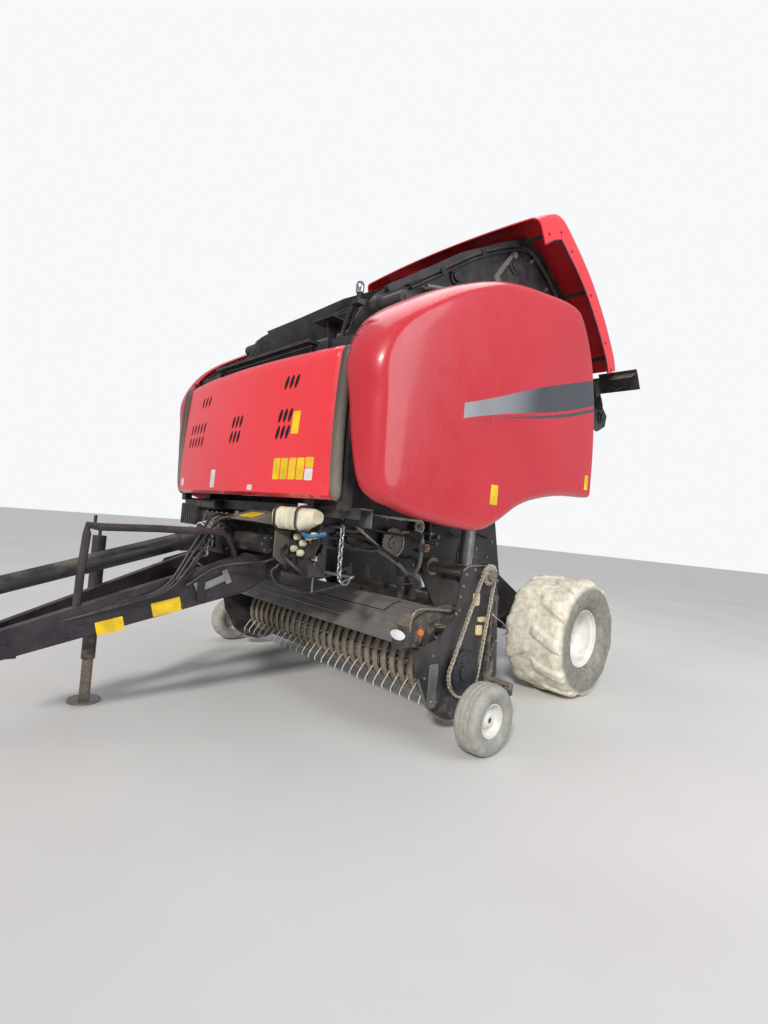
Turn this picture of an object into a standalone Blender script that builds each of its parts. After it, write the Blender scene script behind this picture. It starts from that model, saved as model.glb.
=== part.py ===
"""Round baler, tailgate raised, parked on its jack.

Metres, +Z up.  The drawbar points to -Y, the machine's left side is +X and the
ground is z = 0.  Places are measured from the main axle, and the finished
object is moved by MIDDLE_Y so that the origin lies under its middle.
"""

import math

import bmesh
import bpy
from mathutils import Matrix, Vector

# Placing and fits
MIDDLE_Y = -1.272          # middle of the whole machine, seen from the axle
SEAT = 0.0003              # gap between pieces that rest on each other
FIT = 0.0006               # radial clearance of a shaft in its bearing
PLAY = 0.006               # side clearance of a piece that swings past another

# Running gear
TYRE_R = 0.450
TYRE_W = 0.490
TRACK_X = 1.034            # middle plane of a main wheel
RIM_R = 0.222
SPINDLE_R = 0.032
HUB_R = 0.070
LUGS = 11
GAUGE_R = 0.193
GAUGE_W = 0.155
GAUGE_X = 1.430
GAUGE_Y = -1.500
GAUGE_RIM_R = 0.094
GAUGE_PIN_R = 0.014
AXLE_SIDE = 0.120

# Bale chamber and frame
WALL_X = 0.620             # inner face of a chamber wall
WALL_T = 0.012
RIB_T = 0.018              # ribs stand this far off a plate
FRONT_Y = -2.100           # rear face of the front uprights
POST_D = 0.120             # depth of the uprights, along the machine
POST_W = 0.100
FACE_Y = FRONT_Y - POST_D + 0.010   # front face of the low cross beam
PANEL_HINGE_Y = -2.228
PANEL_HINGE_Z = 2.100
PANEL_HINGE_XS = (-0.500, 0.500)
PANEL_KNUCKLE = 0.050
PANEL_LOW_Z = 1.290
PANEL_TOP_Z = 2.100
HEAD_TOP_Z = 2.180
PANEL_T = 0.020
BEAM_HALF = 1.000
PANEL_HALF = BEAM_HALF - 0.055
SEAL_X = BEAM_HALF - 0.010   # middle of the rubber strip beside the panel

# Tailgate
PIVOT_Y = -1.850
PIVOT_Z = 2.500
PIVOT_R = 0.045
TIE_Z = 2.370                # cross tube below the pivots
TIE_R = 0.035
CHEEK_T = 0.014
OPEN_DEG = 33.0
GATE_X = 0.660             # inner face of a tailgate plate
GATE_T = 0.012
GATE_RIB_T = 0.030
HOOD_HALF = 0.960
HOOD_T = 0.008
HOOD_DEPTH = 0.210         # width of the side flange
HOOD_CORNER = 0.070
HOOD_DOME = 0.030
ROLLER_R = 0.055
BELT_T = 0.010
BELT_W = 0.350
BELTS = 3
BELT_PITCH = 0.385

# Tailgate cylinders
CYL_X = 0.785
CYL_FOOT_Y = -0.960
CYL_FOOT_Z = 0.860
CYL_EYE_Y = -0.870         # eye of the rod, tailgate closed
CYL_EYE_Z = 2.150
CYL_R = 0.048
CYL_WALL = 0.007
ROD_R = 0.028
PIN_R = 0.020
EYE_R = 0.042
EYE_W = 0.050

# Side shields
SHIELD_X = 1.220
SHIELD_T = 0.010
SHIELD_HINGE_X = 1.000
SHIELD_HINGE_Z = 2.700
HINGE_R = 0.016
KNUCKLE_YS = (-1.150, -0.650)
KNUCKLE_LEN = 0.060
RAIL_X = 0.880
RAIL_SIDE = 0.050
RAIL_T = 0.040

# Pickup
PICKUP_Y = -1.188          # lifting axis, also the upper chain wheel
PICKUP_Z = 0.929
PICKUP_SHAFT_R = 0.038
PLATE_X = 1.130
PLATE_T = 0.010
REEL_Y = -1.367
REEL_Z = 0.351
REEL_SHAFT_R = 0.020
BAR_CIRCLE_R = 0.120
BAR_R = 0.014
TINE_TIP_R = 0.290
TINE_R = 0.0035
TINE_LEAN_DEG = 8.0
TINE_PITCH = 0.0795
TINES = 2 * int((PLATE_X - 0.056) / TINE_PITCH) + 1
REEL_BARS = 4
BAND_R = 0.185
BAND_W = 0.046
BAND_T = 0.004
CROSS_Y = -1.030
CROSS_Z = 0.270
CROSS_R = 0.040
GUARD_Y = -1.420           # hinge of the wind guard
GUARD_Z = 0.720
GUARD_PIN_R = 0.014
GUARD_HALF = PLATE_X - 0.045
CHAIN_X = 1.172
CHAIN_W = 0.014
CHAIN_H = 0.0095            # half height of a link
CHAIN_PITCH = 0.050
CHAIN_SAG = 0.008           # room for the chain's flats inside the wheel's rim
TOP_SPROCKET_R = 0.062
REEL_SPROCKET_R = 0.140

# Feed rotor
ROTOR_Y = -0.900
ROTOR_Z = 0.620
ROTOR_TIP_R = 0.200
ROTOR_TUBE_R = 0.085
ROTOR_SHAFT_R = 0.030

# Drawbar, jack and drive line
EYE_Y = -3.760
EYE_Z = 0.470
EYE_HOLE_R = 0.026
JACK_X = -0.330
JACK_Y = -3.000
JACK_Z = 0.640
JACK_R = 0.038
JACK_LEG_R = 0.030
DRIVE_Y = -2.560
DRIVE_Z = 1.010
DRIVE_DEG = 16.0
KNUCKLE_R = 0.030
KNUCKLE_HALF = 0.025
DRIVE_REAR_LEN = 0.620
GUARD_TUBE_R = 0.050
GUARD_TUBE_WALL = 0.005


# Scene and materials

def clear_scene():
    for obj in list(bpy.data.objects):
        bpy.data.objects.remove(obj, do_unlink=True)


def look(name, colour, roughness, metallic):
    material = bpy.data.materials.get(name)
    if material is None:
        material = bpy.data.materials.new(name)
        material.use_nodes = True
        shader = material.node_tree.nodes["Principled BSDF"]
        shader.inputs["Base Color"].default_value = (*colour, 1.0)
        shader.inputs["Roughness"].default_value = roughness
        shader.inputs["Metallic"].default_value = metallic
        material.diffuse_color = (*colour, 1.0)
    return material


RED = ("red_paint", (0.55, 0.012, 0.016), 0.30, 0.0)
BLACK = ("black_paint", (0.020, 0.020, 0.022), 0.50, 0.0)
STEEL = ("worn_steel", (0.33, 0.30, 0.27), 0.45, 0.9)
CHROME = ("chrome", (0.75, 0.75, 0.76), 0.12, 1.0)
RUBBER = ("tyre_rubber", (0.045, 0.043, 0.040), 0.85, 0.0)
BELT = ("belt_rubber", (0.030, 0.029, 0.028), 0.80, 0.0)
STRIP = ("seal_rubber", (0.16, 0.14, 0.12), 0.75, 0.0)
WHITE = ("white_rim", (0.78, 0.77, 0.74), 0.40, 0.0)
CREAM = ("cream_plastic", (0.72, 0.68, 0.55), 0.50, 0.0)
GREY = ("grey_plastic", (0.10, 0.10, 0.11), 0.55, 0.0)


# Solids

def solid(vertices, faces):
    """A closed mesh object from points and faces, turned outside out."""
    mesh = bpy.data.meshes.new("solid")
    mesh.from_pydata([tuple(v) for v in vertices], [], faces)
    work = bmesh.new()
    work.from_mesh(mesh)
    bmesh.ops.remove_doubles(work, verts=work.verts, dist=1e-6)
    bmesh.ops.recalc_face_normals(work, faces=work.faces)
    if work.calc_volume(signed=True) < 0.0:
        bmesh.ops.reverse_faces(work, faces=work.faces)
    work.to_mesh(mesh)
    work.free()
    obj = bpy.data.objects.new("solid", mesh)
    bpy.context.scene.collection.objects.link(obj)
    return obj


def loft(loops, closed=False):
    """Bridges loops of equal length; the two ends are capped unless the row closes on itself."""
    count = len(loops[0])
    vertices = [point for loop in loops for point in loop]
    faces = []
    rows = len(loops)
    for row in range(rows if closed else rows - 1):
        here = row * count
        there = ((row + 1) % rows) * count
        for i in range(count):
            j = (i + 1) % count
            faces.append((here + i, here + j, there + j, there + i))
    if not closed:
        faces.append(tuple(reversed(range(count))))
        faces.append(tuple(range((rows - 1) * count, rows * count)))
    return solid(vertices, faces)


def in_space(axis, along, a, b):
    """Point from a place along an axis and two coordinates across it, in X, Y, Z order."""
    if axis == "X":
        return (along, a, b)
    if axis == "Y":
        return (a, along, b)
    return (a, b, along)


def prism(outline, axis, low, high):
    return loft([[in_space(axis, s, a, b) for a, b in outline] for s in (low, high)])


def box(low, high):
    outline = [(low[0], low[1]), (high[0], low[1]), (high[0], high[1]), (low[0], high[1])]
    return prism(outline, "Z", low[2], high[2])


def circle(radius, sides, middle=(0.0, 0.0), start=0.0):
    step = 2.0 * math.pi / sides
    return [
        (middle[0] + radius * math.cos(start + i * step), middle[1] + radius * math.sin(start + i * step))
        for i in range(sides)
    ]


def arc(middle, radius, start_deg, end_deg, steps):
    points = []
    for i in range(steps + 1):
        turn = math.radians(start_deg + (end_deg - start_deg) * i / steps)
        points.append((middle[0] + radius * math.cos(turn), middle[1] + radius * math.sin(turn)))
    return points


def disc(axis, middle, radius, low, high, sides=24):
    """Round bar along X, Y or Z; middle holds the two coordinates across it."""
    return prism(circle(radius, sides, middle), axis, low, high)


def turned(outline, axis, middle, sides=32):
    """Ring turned about an axis from a closed outline of (radius, along) points."""
    loops = []
    for i in range(sides):
        turn = 2.0 * math.pi * i / sides
        loops.append([
            in_space(axis, along, middle[0] + r * math.cos(turn), middle[1] + r * math.sin(turn))
            for r, along in outline
        ])
    return loft(loops, closed=True)


def ring(axis, middle, outer, inner, low, high, sides=24):
    return turned([(inner, low), (outer, low), (outer, high), (inner, high)], axis, middle, sides)


def frame_of(direction):
    forward = Vector(direction).normalized()
    side = forward.cross(Vector((0.0, 0.0, 1.0)))
    if side.length < 1e-4:
        side = Vector((1.0, 0.0, 0.0))
    side.normalize()
    return forward, side, side.cross(forward)


def bar(start, end, radius, sides=12, end_radius=None):
    """Round bar, or a cone, between two points."""
    forward, side, up = frame_of(Vector(end) - Vector(start))
    loops = []
    for point, r in ((start, radius), (end, radius if end_radius is None else end_radius)):
        loops.append([Vector(point) + side * a + up * b for a, b in circle(r, sides)])
    return loft(loops)


def tube(start, end, outer, inner, sides=24):
    """Open round tube between two points."""
    forward, side, up = frame_of(Vector(end) - Vector(start))
    loops = []
    for i in range(sides):
        turn = 2.0 * math.pi * i / sides
        across = side * math.cos(turn) + up * math.sin(turn)
        loops.append([
            Vector(start) + across * inner,
            Vector(start) + across * outer,
            Vector(end) + across * outer,
            Vector(end) + across * inner,
        ])
    return loft(loops, closed=True)


def pipe(points, radius, sides=8):
    """Bent round rod through points."""
    points = [Vector(p) for p in points]
    loops = []
    side = None
    for i, point in enumerate(points):
        before = points[max(i - 1, 0)]
        after = points[min(i + 1, len(points) - 1)]
        forward = (after - before).normalized()
        if side is None:
            side = frame_of(forward)[1]
        side = (side - forward * side.dot(forward)).normalized()
        up = side.cross(forward)
        loops.append([point + side * a + up * b for a, b in circle(radius, sides)])
    return loft(loops)


def smooth(points, per=4):
    """Curve through points, with a few steps for each stretch."""
    padded = [points[0]] + list(points) + [points[-1]]
    curve = []
    for i in range(1, len(padded) - 2):
        p0, p1, p2, p3 = (Vector(p) for p in padded[i - 1:i + 3])
        for step in range(per):
            t = step / per
            curve.append(tuple(
                0.5 * (2 * p1 + (p2 - p0) * t + (2 * p0 - 5 * p1 + 4 * p2 - p3) * t ** 2
                       + (3 * p1 - p0 - 3 * p2 + p3) * t ** 3)
            ))
    curve.append(tuple(points[-1]))
    return curve


def normals_of(path, closed=False):
    """Unit normals on the left of a flat path."""
    result = []
    last = len(path) - 1
    for i in range(len(path)):
        before = path[i - 1] if i > 0 or closed else path[0]
        after = path[(i + 1) % len(path)] if i < last or closed else path[last]
        if i == 0 and not closed:
            before = path[0]
        run = Vector((after[0] - before[0], after[1] - before[1])).normalized()
        result.append((-run[1], run[0]))
    return result


def strip(path, thickness):
    """Closed outline of a sheet that follows a flat path, thickness to the left."""
    sides = normals_of(path)
    other = [(p[0] + n[0] * thickness, p[1] + n[1] * thickness) for p, n in zip(path, sides)]
    return list(path) + list(reversed(other))


def turn_about(point, middle, degrees):
    """Turns a (y, z) point about a middle; positive lifts what lies behind it."""
    turn = math.radians(degrees)
    a = point[0] - middle[0]
    b = point[1] - middle[1]
    return (
        middle[0] + a * math.cos(turn) - b * math.sin(turn),
        middle[1] + a * math.sin(turn) + b * math.cos(turn),
    )


def mirror(obj):
    """Mirrors a solid to the machine's right side."""
    obj.data.transform(Matrix.Scale(-1.0, 4, (1.0, 0.0, 0.0)))
    obj.data.flip_normals()
    return obj


def gather(parts):
    """One object of several solids that don't touch each other."""
    work = bmesh.new()
    for part in parts:
        work.from_mesh(part.data)
        bpy.data.objects.remove(part, do_unlink=True)
    mesh = bpy.data.meshes.new("solids")
    work.to_mesh(mesh)
    work.free()
    obj = bpy.data.objects.new("solids", mesh)
    bpy.context.scene.collection.objects.link(obj)
    return obj


def shape(parts, cuts=()):
    """Joins solids into one body, then cuts the cutters out of it."""
    base = parts[0]
    helpers = list(parts[1:]) + list(cuts)
    for i, helper in enumerate(helpers):
        step = base.modifiers.new(f"step_{i}", "BOOLEAN")
        step.operation = "UNION" if i < len(parts) - 1 else "DIFFERENCE"
        step.solver = "EXACT"
        step.object = helper
    if helpers:
        bpy.context.view_layer.update()
        graph = bpy.context.evaluated_depsgraph_get()
        mesh = bpy.data.meshes.new_from_object(base.evaluated_get(graph))
        base.modifiers.clear()
        base.data = mesh
        for helper in helpers:
            bpy.data.objects.remove(helper, do_unlink=True)
    return base


def place(name, obj, material, pivot=(0.0, 0.0, 0.0), sharp_deg=32.0):
    """Names a finished solid, gives it its material and puts its origin on its joint."""
    obj.name = name
    obj.data.name = name
    obj.data.materials.clear()
    obj.data.materials.append(look(*material))
    obj.data.transform(Matrix.Translation(-Vector(pivot)))
    obj.location = Vector(pivot) - Vector((0.0, MIDDLE_Y, 0.0))
    obj.data.shade_smooth()
    obj.data.set_sharp_from_angle(angle=math.radians(sharp_deg))
    return obj


def on_both_sides(name, build, material, pivot=(0.0, 0.0, 0.0)):
    """Builds a left piece and its mirrored right twin."""
    place(f"{name}_left", build(), material, pivot)
    place(f"{name}_right", mirror(build()), material, (-pivot[0], pivot[1], pivot[2]))


# Running gear

def main_tyre():
    """Flotation tyre with chevron lugs."""
    half = TYRE_W / 2.0
    body_r = TYRE_R - 0.018
    outline = [
        (RIM_R, -half + 0.060), (RIM_R + 0.030, -half + 0.028), (0.340, -half),
        (0.400, -half + 0.018), (body_r, -half + 0.075), (body_r, half - 0.075),
        (0.400, half - 0.018), (0.340, half), (RIM_R + 0.030, half - 0.028), (RIM_R, half - 0.060),
    ]
    outline = [(r, along + TRACK_X) for r, along in outline]
    tyre = turned(outline, "X", (0.0, TYRE_R), 24)
    lugs = []
    for i in range(LUGS):
        for side in (-1.0, 1.0):
            lugs.append(lug(side, 2.0 * math.pi * (i + (0.25 if side > 0 else -0.25)) / LUGS))
    return shape([tyre, gather(lugs)])


def lug(side, turn):
    """One lug: from the middle of the tread, slanting to the shoulder."""
    half = TYRE_W / 2.0
    width = 0.052
    stations = ((0.012, 0.0, TYRE_R), (half - 0.070, 0.085, TYRE_R), (half - 0.014, 0.105, TYRE_R - 0.045))
    loops = []
    for along, sweep, top in stations:
        loop = []
        for edge, radius in ((-0.5, top - 0.045), (0.5, top - 0.045), (0.36, top), (-0.36, top)):
            angle = turn + (sweep + edge * width) / TYRE_R
            loop.append((TRACK_X + side * along, radius * math.cos(angle), TYRE_R + radius * math.sin(angle)))
        loops.append(loop)
    return loft(loops)


def main_rim():
    """White dished rim with its hub."""
    half = TYRE_W / 2.0 - 0.062
    seat = RIM_R - SEAT
    barrel = [
        (seat, -half), (seat, half), (seat - 0.014, half + 0.006), (seat - 0.030, half - 0.020),
        (seat - 0.034, 0.060), (0.120, 0.030), (HUB_R, 0.052),
        (SPINDLE_R + FIT, 0.052), (SPINDLE_R + FIT, -0.090), (HUB_R, -0.090), (HUB_R, 0.012),
        (seat - 0.030, 0.030), (seat - 0.012, -half + 0.004),
    ]
    return turned([(r, a + TRACK_X) for r, a in barrel], "X", (0.0, TYRE_R), 24)


def axle_beam():
    """Square beam with a spindle at each end."""
    half = AXLE_SIDE / 2.0
    inner = TRACK_X - TYRE_W / 2.0 - 0.060
    hub_face = TRACK_X - 0.090 - 2.0 * FIT
    beam = box((-inner, -half, TYRE_R - half), (inner, half, TYRE_R + half))
    spindle = disc("X", (0.0, TYRE_R), SPINDLE_R, -TRACK_X - 0.046, TRACK_X + 0.046, 24)
    collars = [
        disc("X", (0.0, TYRE_R), 0.055, inner - 0.010, hub_face, 12),
        disc("X", (0.0, TYRE_R), 0.055, -hub_face, 0.010 - inner, 12),
    ]
    return shape([beam, spindle] + collars)


def gauge_tyre():
    half = GAUGE_W / 2.0
    outline = [
        (GAUGE_RIM_R, -0.050), (0.120, -half + 0.006), (0.150, -half), (0.176, -half + 0.012),
        (GAUGE_R - 0.002, -0.040), (GAUGE_R, 0.0),
        (GAUGE_R - 0.002, 0.040), (0.176, half - 0.012),
        (0.150, half), (0.120, half - 0.006), (GAUGE_RIM_R, 0.050),
    ]
    return turned([(r, a + GAUGE_X) for r, a in outline], "X", (GAUGE_Y, GAUGE_R), 16)


def gauge_rim():
    seat = GAUGE_RIM_R - SEAT
    outline = [
        (seat, -0.052), (seat, 0.054), (seat - 0.010, 0.054), (seat - 0.018, 0.016),
        (0.030, 0.040), (GAUGE_PIN_R + FIT, 0.040), (GAUGE_PIN_R + FIT, -0.050), (0.030, -0.050),
        (seat - 0.014, 0.004),
    ]
    return turned([(r, a + GAUGE_X) for r, a in outline], "X", (GAUGE_Y, GAUGE_R), 16)


# Main frame

WALL_OUTLINE = [
    (FRONT_Y + SEAT, 1.020), (-1.600, 1.000), (-1.220, 0.860), (-1.060, 0.640), (-1.000, 0.440),
    (-0.860, 0.390), (-0.720, 0.400), (-0.480, TYRE_R + AXLE_SIDE / 2.0 + SEAT),
    (0.140, TYRE_R + AXLE_SIDE / 2.0 + SEAT), (0.140, 0.620), (-0.300, 0.860), (-0.420, 1.300),
    (-0.750, 1.750), (-1.300, 2.180), (-1.620, 2.320), (-1.740, 2.545), (-1.850, 2.562),
    (-1.925, 2.530), (-2.020, 2.330), (FRONT_Y + SEAT, 2.230),
]


def chamber_wall():
    """Side wall of the bale chamber with a pressed rib, a pivot bore and a rotor bore."""
    wall = prism(WALL_OUTLINE, "X", WALL_X, WALL_X + WALL_T)
    rib = [(-1.960, 1.080), (-1.600, 1.060), (-1.150, 1.000), (-0.640, 0.900), (-0.420, 0.760),
           (-0.420, 0.720), (-0.660, 0.850), (-1.160, 0.945), (-1.600, 1.015), (-1.960, 1.035)]
    low_rib = prism(rib, "X", WALL_X + WALL_T / 2.0, WALL_X + WALL_T + RIB_T)
    cuts = [
        disc("X", (PIVOT_Y, PIVOT_Z), PIVOT_R + SEAT, WALL_X - 0.1, WALL_X + 0.1, 20),
        disc("X", (ROTOR_Y, ROTOR_Z), ROTOR_SHAFT_R + FIT, WALL_X - 0.1, WALL_X + 0.1, 20),
        disc("X", (PICKUP_Y, PICKUP_Z), PICKUP_SHAFT_R + SEAT, WALL_X - 0.1, WALL_X + 0.1, 24),
        disc("X", (CYL_FOOT_Y, CYL_FOOT_Z), PIN_R + SEAT, WALL_X - 0.1, WALL_X + 0.1, 16),
    ]
    return shape([wall, low_rib], cuts)


def front_frame():
    """Two uprights and the cross beams that carry the front panel and the side shields."""
    rear = FRONT_Y
    front = FRONT_Y - POST_D
    posts = [
        box((WALL_X - 0.020, front, 0.860), (WALL_X - 0.020 + POST_W, rear, HEAD_TOP_Z)),
        box((-WALL_X + 0.020 - POST_W, front, 0.860), (-WALL_X + 0.020, rear, HEAD_TOP_Z)),
    ]
    low = box((-WALL_X - 0.060, front + 0.010, 0.860), (WALL_X + 0.060, rear - 0.010, 0.980))
    sill = box((-BEAM_HALF, front + 0.020, 1.200), (BEAM_HALF, rear - 0.030, 1.260))
    head = box((-BEAM_HALF, front + 0.020, HEAD_TOP_Z - 0.060), (BEAM_HALF, rear - 0.030, HEAD_TOP_Z))
    ears = []
    for x in PANEL_HINGE_XS:
        for side in (-1.0, 1.0):
            middle = x + side * (PANEL_KNUCKLE / 2.0 + 0.005 + SEAT)
            outline = [(front + 0.022, HEAD_TOP_Z - 0.010), (PANEL_HINGE_Y - 0.016, PANEL_HINGE_Z + 0.010),
                       (PANEL_HINGE_Y - 0.014, PANEL_HINGE_Z - 0.012), (PANEL_HINGE_Y + 0.010, PANEL_HINGE_Z - 0.014),
                       (front + 0.022, HEAD_TOP_Z - 0.056)]
            ears.append(prism(outline, "X", middle - 0.005, middle + 0.005))
    pin_half = PANEL_KNUCKLE / 2.0 + 0.004
    pins = [disc("X", (PANEL_HINGE_Y, PANEL_HINGE_Z), 0.006, x - pin_half, x + pin_half, 10) for x in PANEL_HINGE_XS]
    return shape(posts[:1] + [low, sill, head] + posts[1:] + [gather(ears), gather(pins)])


def pivot_beam():
    """Stubs on the tailgate's axis, joined by a low cross tube, with the carriers of the side shields."""
    parts = [disc("X", (PIVOT_Y, TIE_Z), TIE_R, -WALL_X + SEAT, WALL_X - SEAT, 12)]
    cheek = [(PIVOT_Y - PIVOT_R, TIE_Z - TIE_R), (PIVOT_Y + PIVOT_R, TIE_Z - TIE_R),
             (PIVOT_Y + PIVOT_R + 0.010, PIVOT_Z), (PIVOT_Y + PIVOT_R / 2.0, PIVOT_Z + PIVOT_R),
             (PIVOT_Y - PIVOT_R / 2.0, PIVOT_Z + PIVOT_R), (PIVOT_Y - PIVOT_R - 0.010, PIVOT_Z)]
    rail = strip([(PIVOT_Y, PIVOT_Z - 0.020), (KNUCKLE_YS[0] - 0.070, SHIELD_HINGE_Z - 0.018),
                  (KNUCKLE_YS[1] + 0.060, SHIELD_HINGE_Z)], RAIL_T)
    for side in (-1.0, 1.0):
        parts.append(prism(cheek, "X", *sorted((side * (WALL_X - SEAT - CHEEK_T), side * (WALL_X - SEAT)))))
        parts.append(disc("X", (PIVOT_Y, PIVOT_Z), PIVOT_R, *sorted((side * (WALL_X - CHEEK_T), side * (RAIL_X + 0.020))), 20))
        inner = side * (RAIL_X - RAIL_SIDE / 2.0)
        outer = side * (RAIL_X + RAIL_SIDE / 2.0)
        parts.append(prism(rail, "X", *sorted((inner, outer))))
        for y in KNUCKLE_YS:
            ear_end = side * SHIELD_HINGE_X
            root = outer - side * 0.010
            for offset in (-0.5, 0.5):
                middle = y + offset * (KNUCKLE_LEN + 0.012 + 2.0 * SEAT)
                tip = arc((ear_end, SHIELD_HINGE_Z), HINGE_R + 0.004, 90.0, 90.0 - side * 180.0, 3)
                outline = [(root, SHIELD_HINGE_Z + HINGE_R + 0.004)] + tip + [(root, SHIELD_HINGE_Z - HINGE_R - 0.004)]
                parts.append(prism(outline, "Y", middle - 0.006, middle + 0.006))
            pin_half = KNUCKLE_LEN / 2.0 + 0.006
            parts.append(disc("Y", (ear_end, SHIELD_HINGE_Z), HINGE_R / 2.0, y - pin_half, y + pin_half, 10))
    return shape(parts)


def side_shafts():
    """Stub shaft that carries the pickup at one side and the cylinder's foot pin below it."""
    shaft = disc("X", (PICKUP_Y, PICKUP_Z), PICKUP_SHAFT_R, WALL_X - 0.010, CHAIN_X + 0.030, 24)
    collar = disc("X", (PICKUP_Y, PICKUP_Z), 0.062, WALL_X + WALL_T + RIB_T + SEAT, WALL_X + WALL_T + 0.070, 12)
    return shape([shaft, collar])


def foot_pin():
    pin = disc("X", (CYL_FOOT_Y, CYL_FOOT_Z), PIN_R, WALL_X - 0.008, CYL_X + EYE_W / 2.0 + 0.020, 16)
    collar = disc("X", (CYL_FOOT_Y, CYL_FOOT_Z), 0.030, WALL_X + WALL_T + RIB_T + SEAT, CYL_X - EYE_W / 2.0 - 2.0 * FIT, 16)
    return shape([pin, collar])


def front_belts():
    """Starter rollers and the run of belts at the front of the chamber."""
    top, low = (-1.980, 2.240), (-1.980, 1.120)
    rollers = [disc("X", p, ROLLER_R, -WALL_X + SEAT, WALL_X - SEAT, 12) for p in (top, low)]
    loop = arc(top, ROLLER_R + BELT_T, 0.0, 180.0, 5) + arc(low, ROLLER_R + BELT_T, 180.0, 360.0, 5)
    inner = arc(top, ROLLER_R - 0.002, 0.0, 180.0, 5) + arc(low, ROLLER_R - 0.002, 180.0, 360.0, 5)
    strips = []
    for i in range(BELTS):
        middle = (i - (BELTS - 1) / 2.0) * BELT_PITCH
        low_x, high_x = middle - BELT_W / 2.0, middle + BELT_W / 2.0
        strips.append(loft([
            [(low_x, *p) for p in loop],
            [(high_x, *p) for p in loop],
            [(high_x, *p) for p in inner],
            [(low_x, *p) for p in inner],
        ], closed=True))
    return shape([rollers[0], rollers[1], gather(strips)])


# Tailgate, drawn closed and lifted about its pivot

def lift(obj):
    """Lifts a solid from the closed tailgate to the open one."""
    pivot = Vector((0.0, PIVOT_Y, PIVOT_Z))
    turn = Matrix.Rotation(math.radians(OPEN_DEG), 4, "X")
    obj.data.transform(Matrix.Translation(pivot) @ turn @ Matrix.Translation(-pivot))
    return obj


GATE_OUTLINE = [
    (-1.915, 2.465), (-1.905, 2.545), (-1.850, 2.572), (-1.600, 2.602), (-0.900, 2.640), (-0.050, 2.600),
    (0.140, 2.420), (0.340, 2.060), (0.450, 1.600), (0.500, 1.150), (0.690, 0.900), (0.750, 0.760),
    (0.670, 0.680), (0.500, 0.700), (0.260, 0.920), (0.000, 1.020), (-0.220, 1.180),
    (-0.420, 1.620), (-0.820, 2.000), (-1.200, 2.220), (-1.500, 2.340), (-1.800, 2.400),
]
GATE_ROLLERS = [(0.620, 0.800), (0.220, 1.750), (-0.300, 2.420), (-1.050, 2.500)]


def gate_plate():
    plate = prism(GATE_OUTLINE, "X", GATE_X, GATE_X + GATE_T)
    hub = disc("X", (PIVOT_Y, PIVOT_Z), PIVOT_R + 0.020, GATE_X, GATE_X + 0.050, 20)
    rib = strip([(-1.750, 2.560), (-0.900, 2.590), (-0.090, 2.550), (0.090, 2.390), (0.285, 2.040),
                 (0.395, 1.600), (0.445, 1.150), (0.620, 0.880)], 0.040)
    rib = prism(rib, "X", GATE_X + GATE_T / 2.0, GATE_X + GATE_T + GATE_RIB_T)
    arms = [
        box((GATE_X + 0.004, y - 0.020, z - 0.014), (HOOD_HALF - HOOD_T - SEAT, y + 0.020, z + 0.014))
        for y, z in HOOD_ARMS
    ]
    boss = disc("X", (CYL_EYE_Y, CYL_EYE_Z), 0.045, GATE_X, CYL_X - EYE_W / 2.0 - PLAY, 12)
    bore = disc("X", (PIVOT_Y, PIVOT_Z), PIVOT_R + FIT, GATE_X - 0.1, GATE_X + 0.1, 20)
    return lift(shape([plate, hub, rib, boss, gather(arms)], [bore]))


def gate_belts():
    """Rollers between the tailgate plates and the belts that run over them."""
    half = GATE_X - SEAT
    rollers = [disc("X", p, ROLLER_R, -half, half, 12) for p in GATE_ROLLERS]
    reach = ROLLER_R + BELT_T
    route = []
    count = len(GATE_ROLLERS)
    for i, place_yz in enumerate(GATE_ROLLERS):
        before = GATE_ROLLERS[i - 1]
        after = GATE_ROLLERS[(i + 1) % count]
        start = math.degrees(math.atan2(place_yz[1] - before[1], place_yz[0] - before[0])) - 90.0
        end = math.degrees(math.atan2(after[1] - place_yz[1], after[0] - place_yz[0])) - 90.0
        while end < start:
            end += 360.0
        route.append((place_yz, start, end))
    outer = []
    inner = []
    for spot, start, end in route:
        steps = max(2, int((end - start) / 30.0))
        outer += arc(spot, reach, start, end, steps)
        inner += arc(spot, ROLLER_R - 0.002, start, end, steps)
    strips = []
    for i in range(BELTS):
        centre = (i - (BELTS - 1) / 2.0) * BELT_PITCH
        low_x, high_x = centre - BELT_W / 2.0, centre + BELT_W / 2.0
        strips.append(loft([
            [(low_x, *p) for p in outer],
            [(high_x, *p) for p in outer],
            [(high_x, *p) for p in inner],
            [(low_x, *p) for p in inner],
        ], closed=True))
    return lift(shape(rollers[:1] + [gather(rollers[1:]), gather(strips)]))


def gate_cross():
    """Cross plate at the top rear with a diagonal brace at each side."""
    half = GATE_X - SEAT
    plate = box((-half, -0.012, 2.250), (half, 0.000, 2.585))
    flange = box((-half, -0.060, 2.575), (half, 0.000, 2.587))
    return lift(shape([plate, flange]))


HOOD_OUTER = [(-0.290, 2.700), (-0.100, 2.700), (0.080, 2.650), (0.220, 2.450), (0.380, 2.130),
              (0.490, 1.770), (0.545, 1.420), (0.530, 1.270)]
HOOD_ARMS = [(-0.130, 2.555), (0.300, 2.030), (0.425, 1.420)]


def hood_stations():
    """Places along the hood's profile with the direction that points out of it."""
    path = smooth(HOOD_OUTER, 2)
    return [(y, z, ny, nz) for (y, z), (ny, nz) in zip(path, normals_of(path))]


def across_hood(station, half, grow):
    """Outer section of the hood at a station: flange, corner, dome, corner, flange."""
    y, z, ny, nz = station
    points = []
    for x, depth in (
        (-half, HOOD_DEPTH), (-half, HOOD_CORNER), (HOOD_CORNER - half, -grow), (0.0, -HOOD_DOME - grow),
        (half - HOOD_CORNER, -grow), (half, HOOD_CORNER), (half, HOOD_DEPTH),
    ):
        points.append((x, y - ny * depth, z - nz * depth))
    return points


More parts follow.
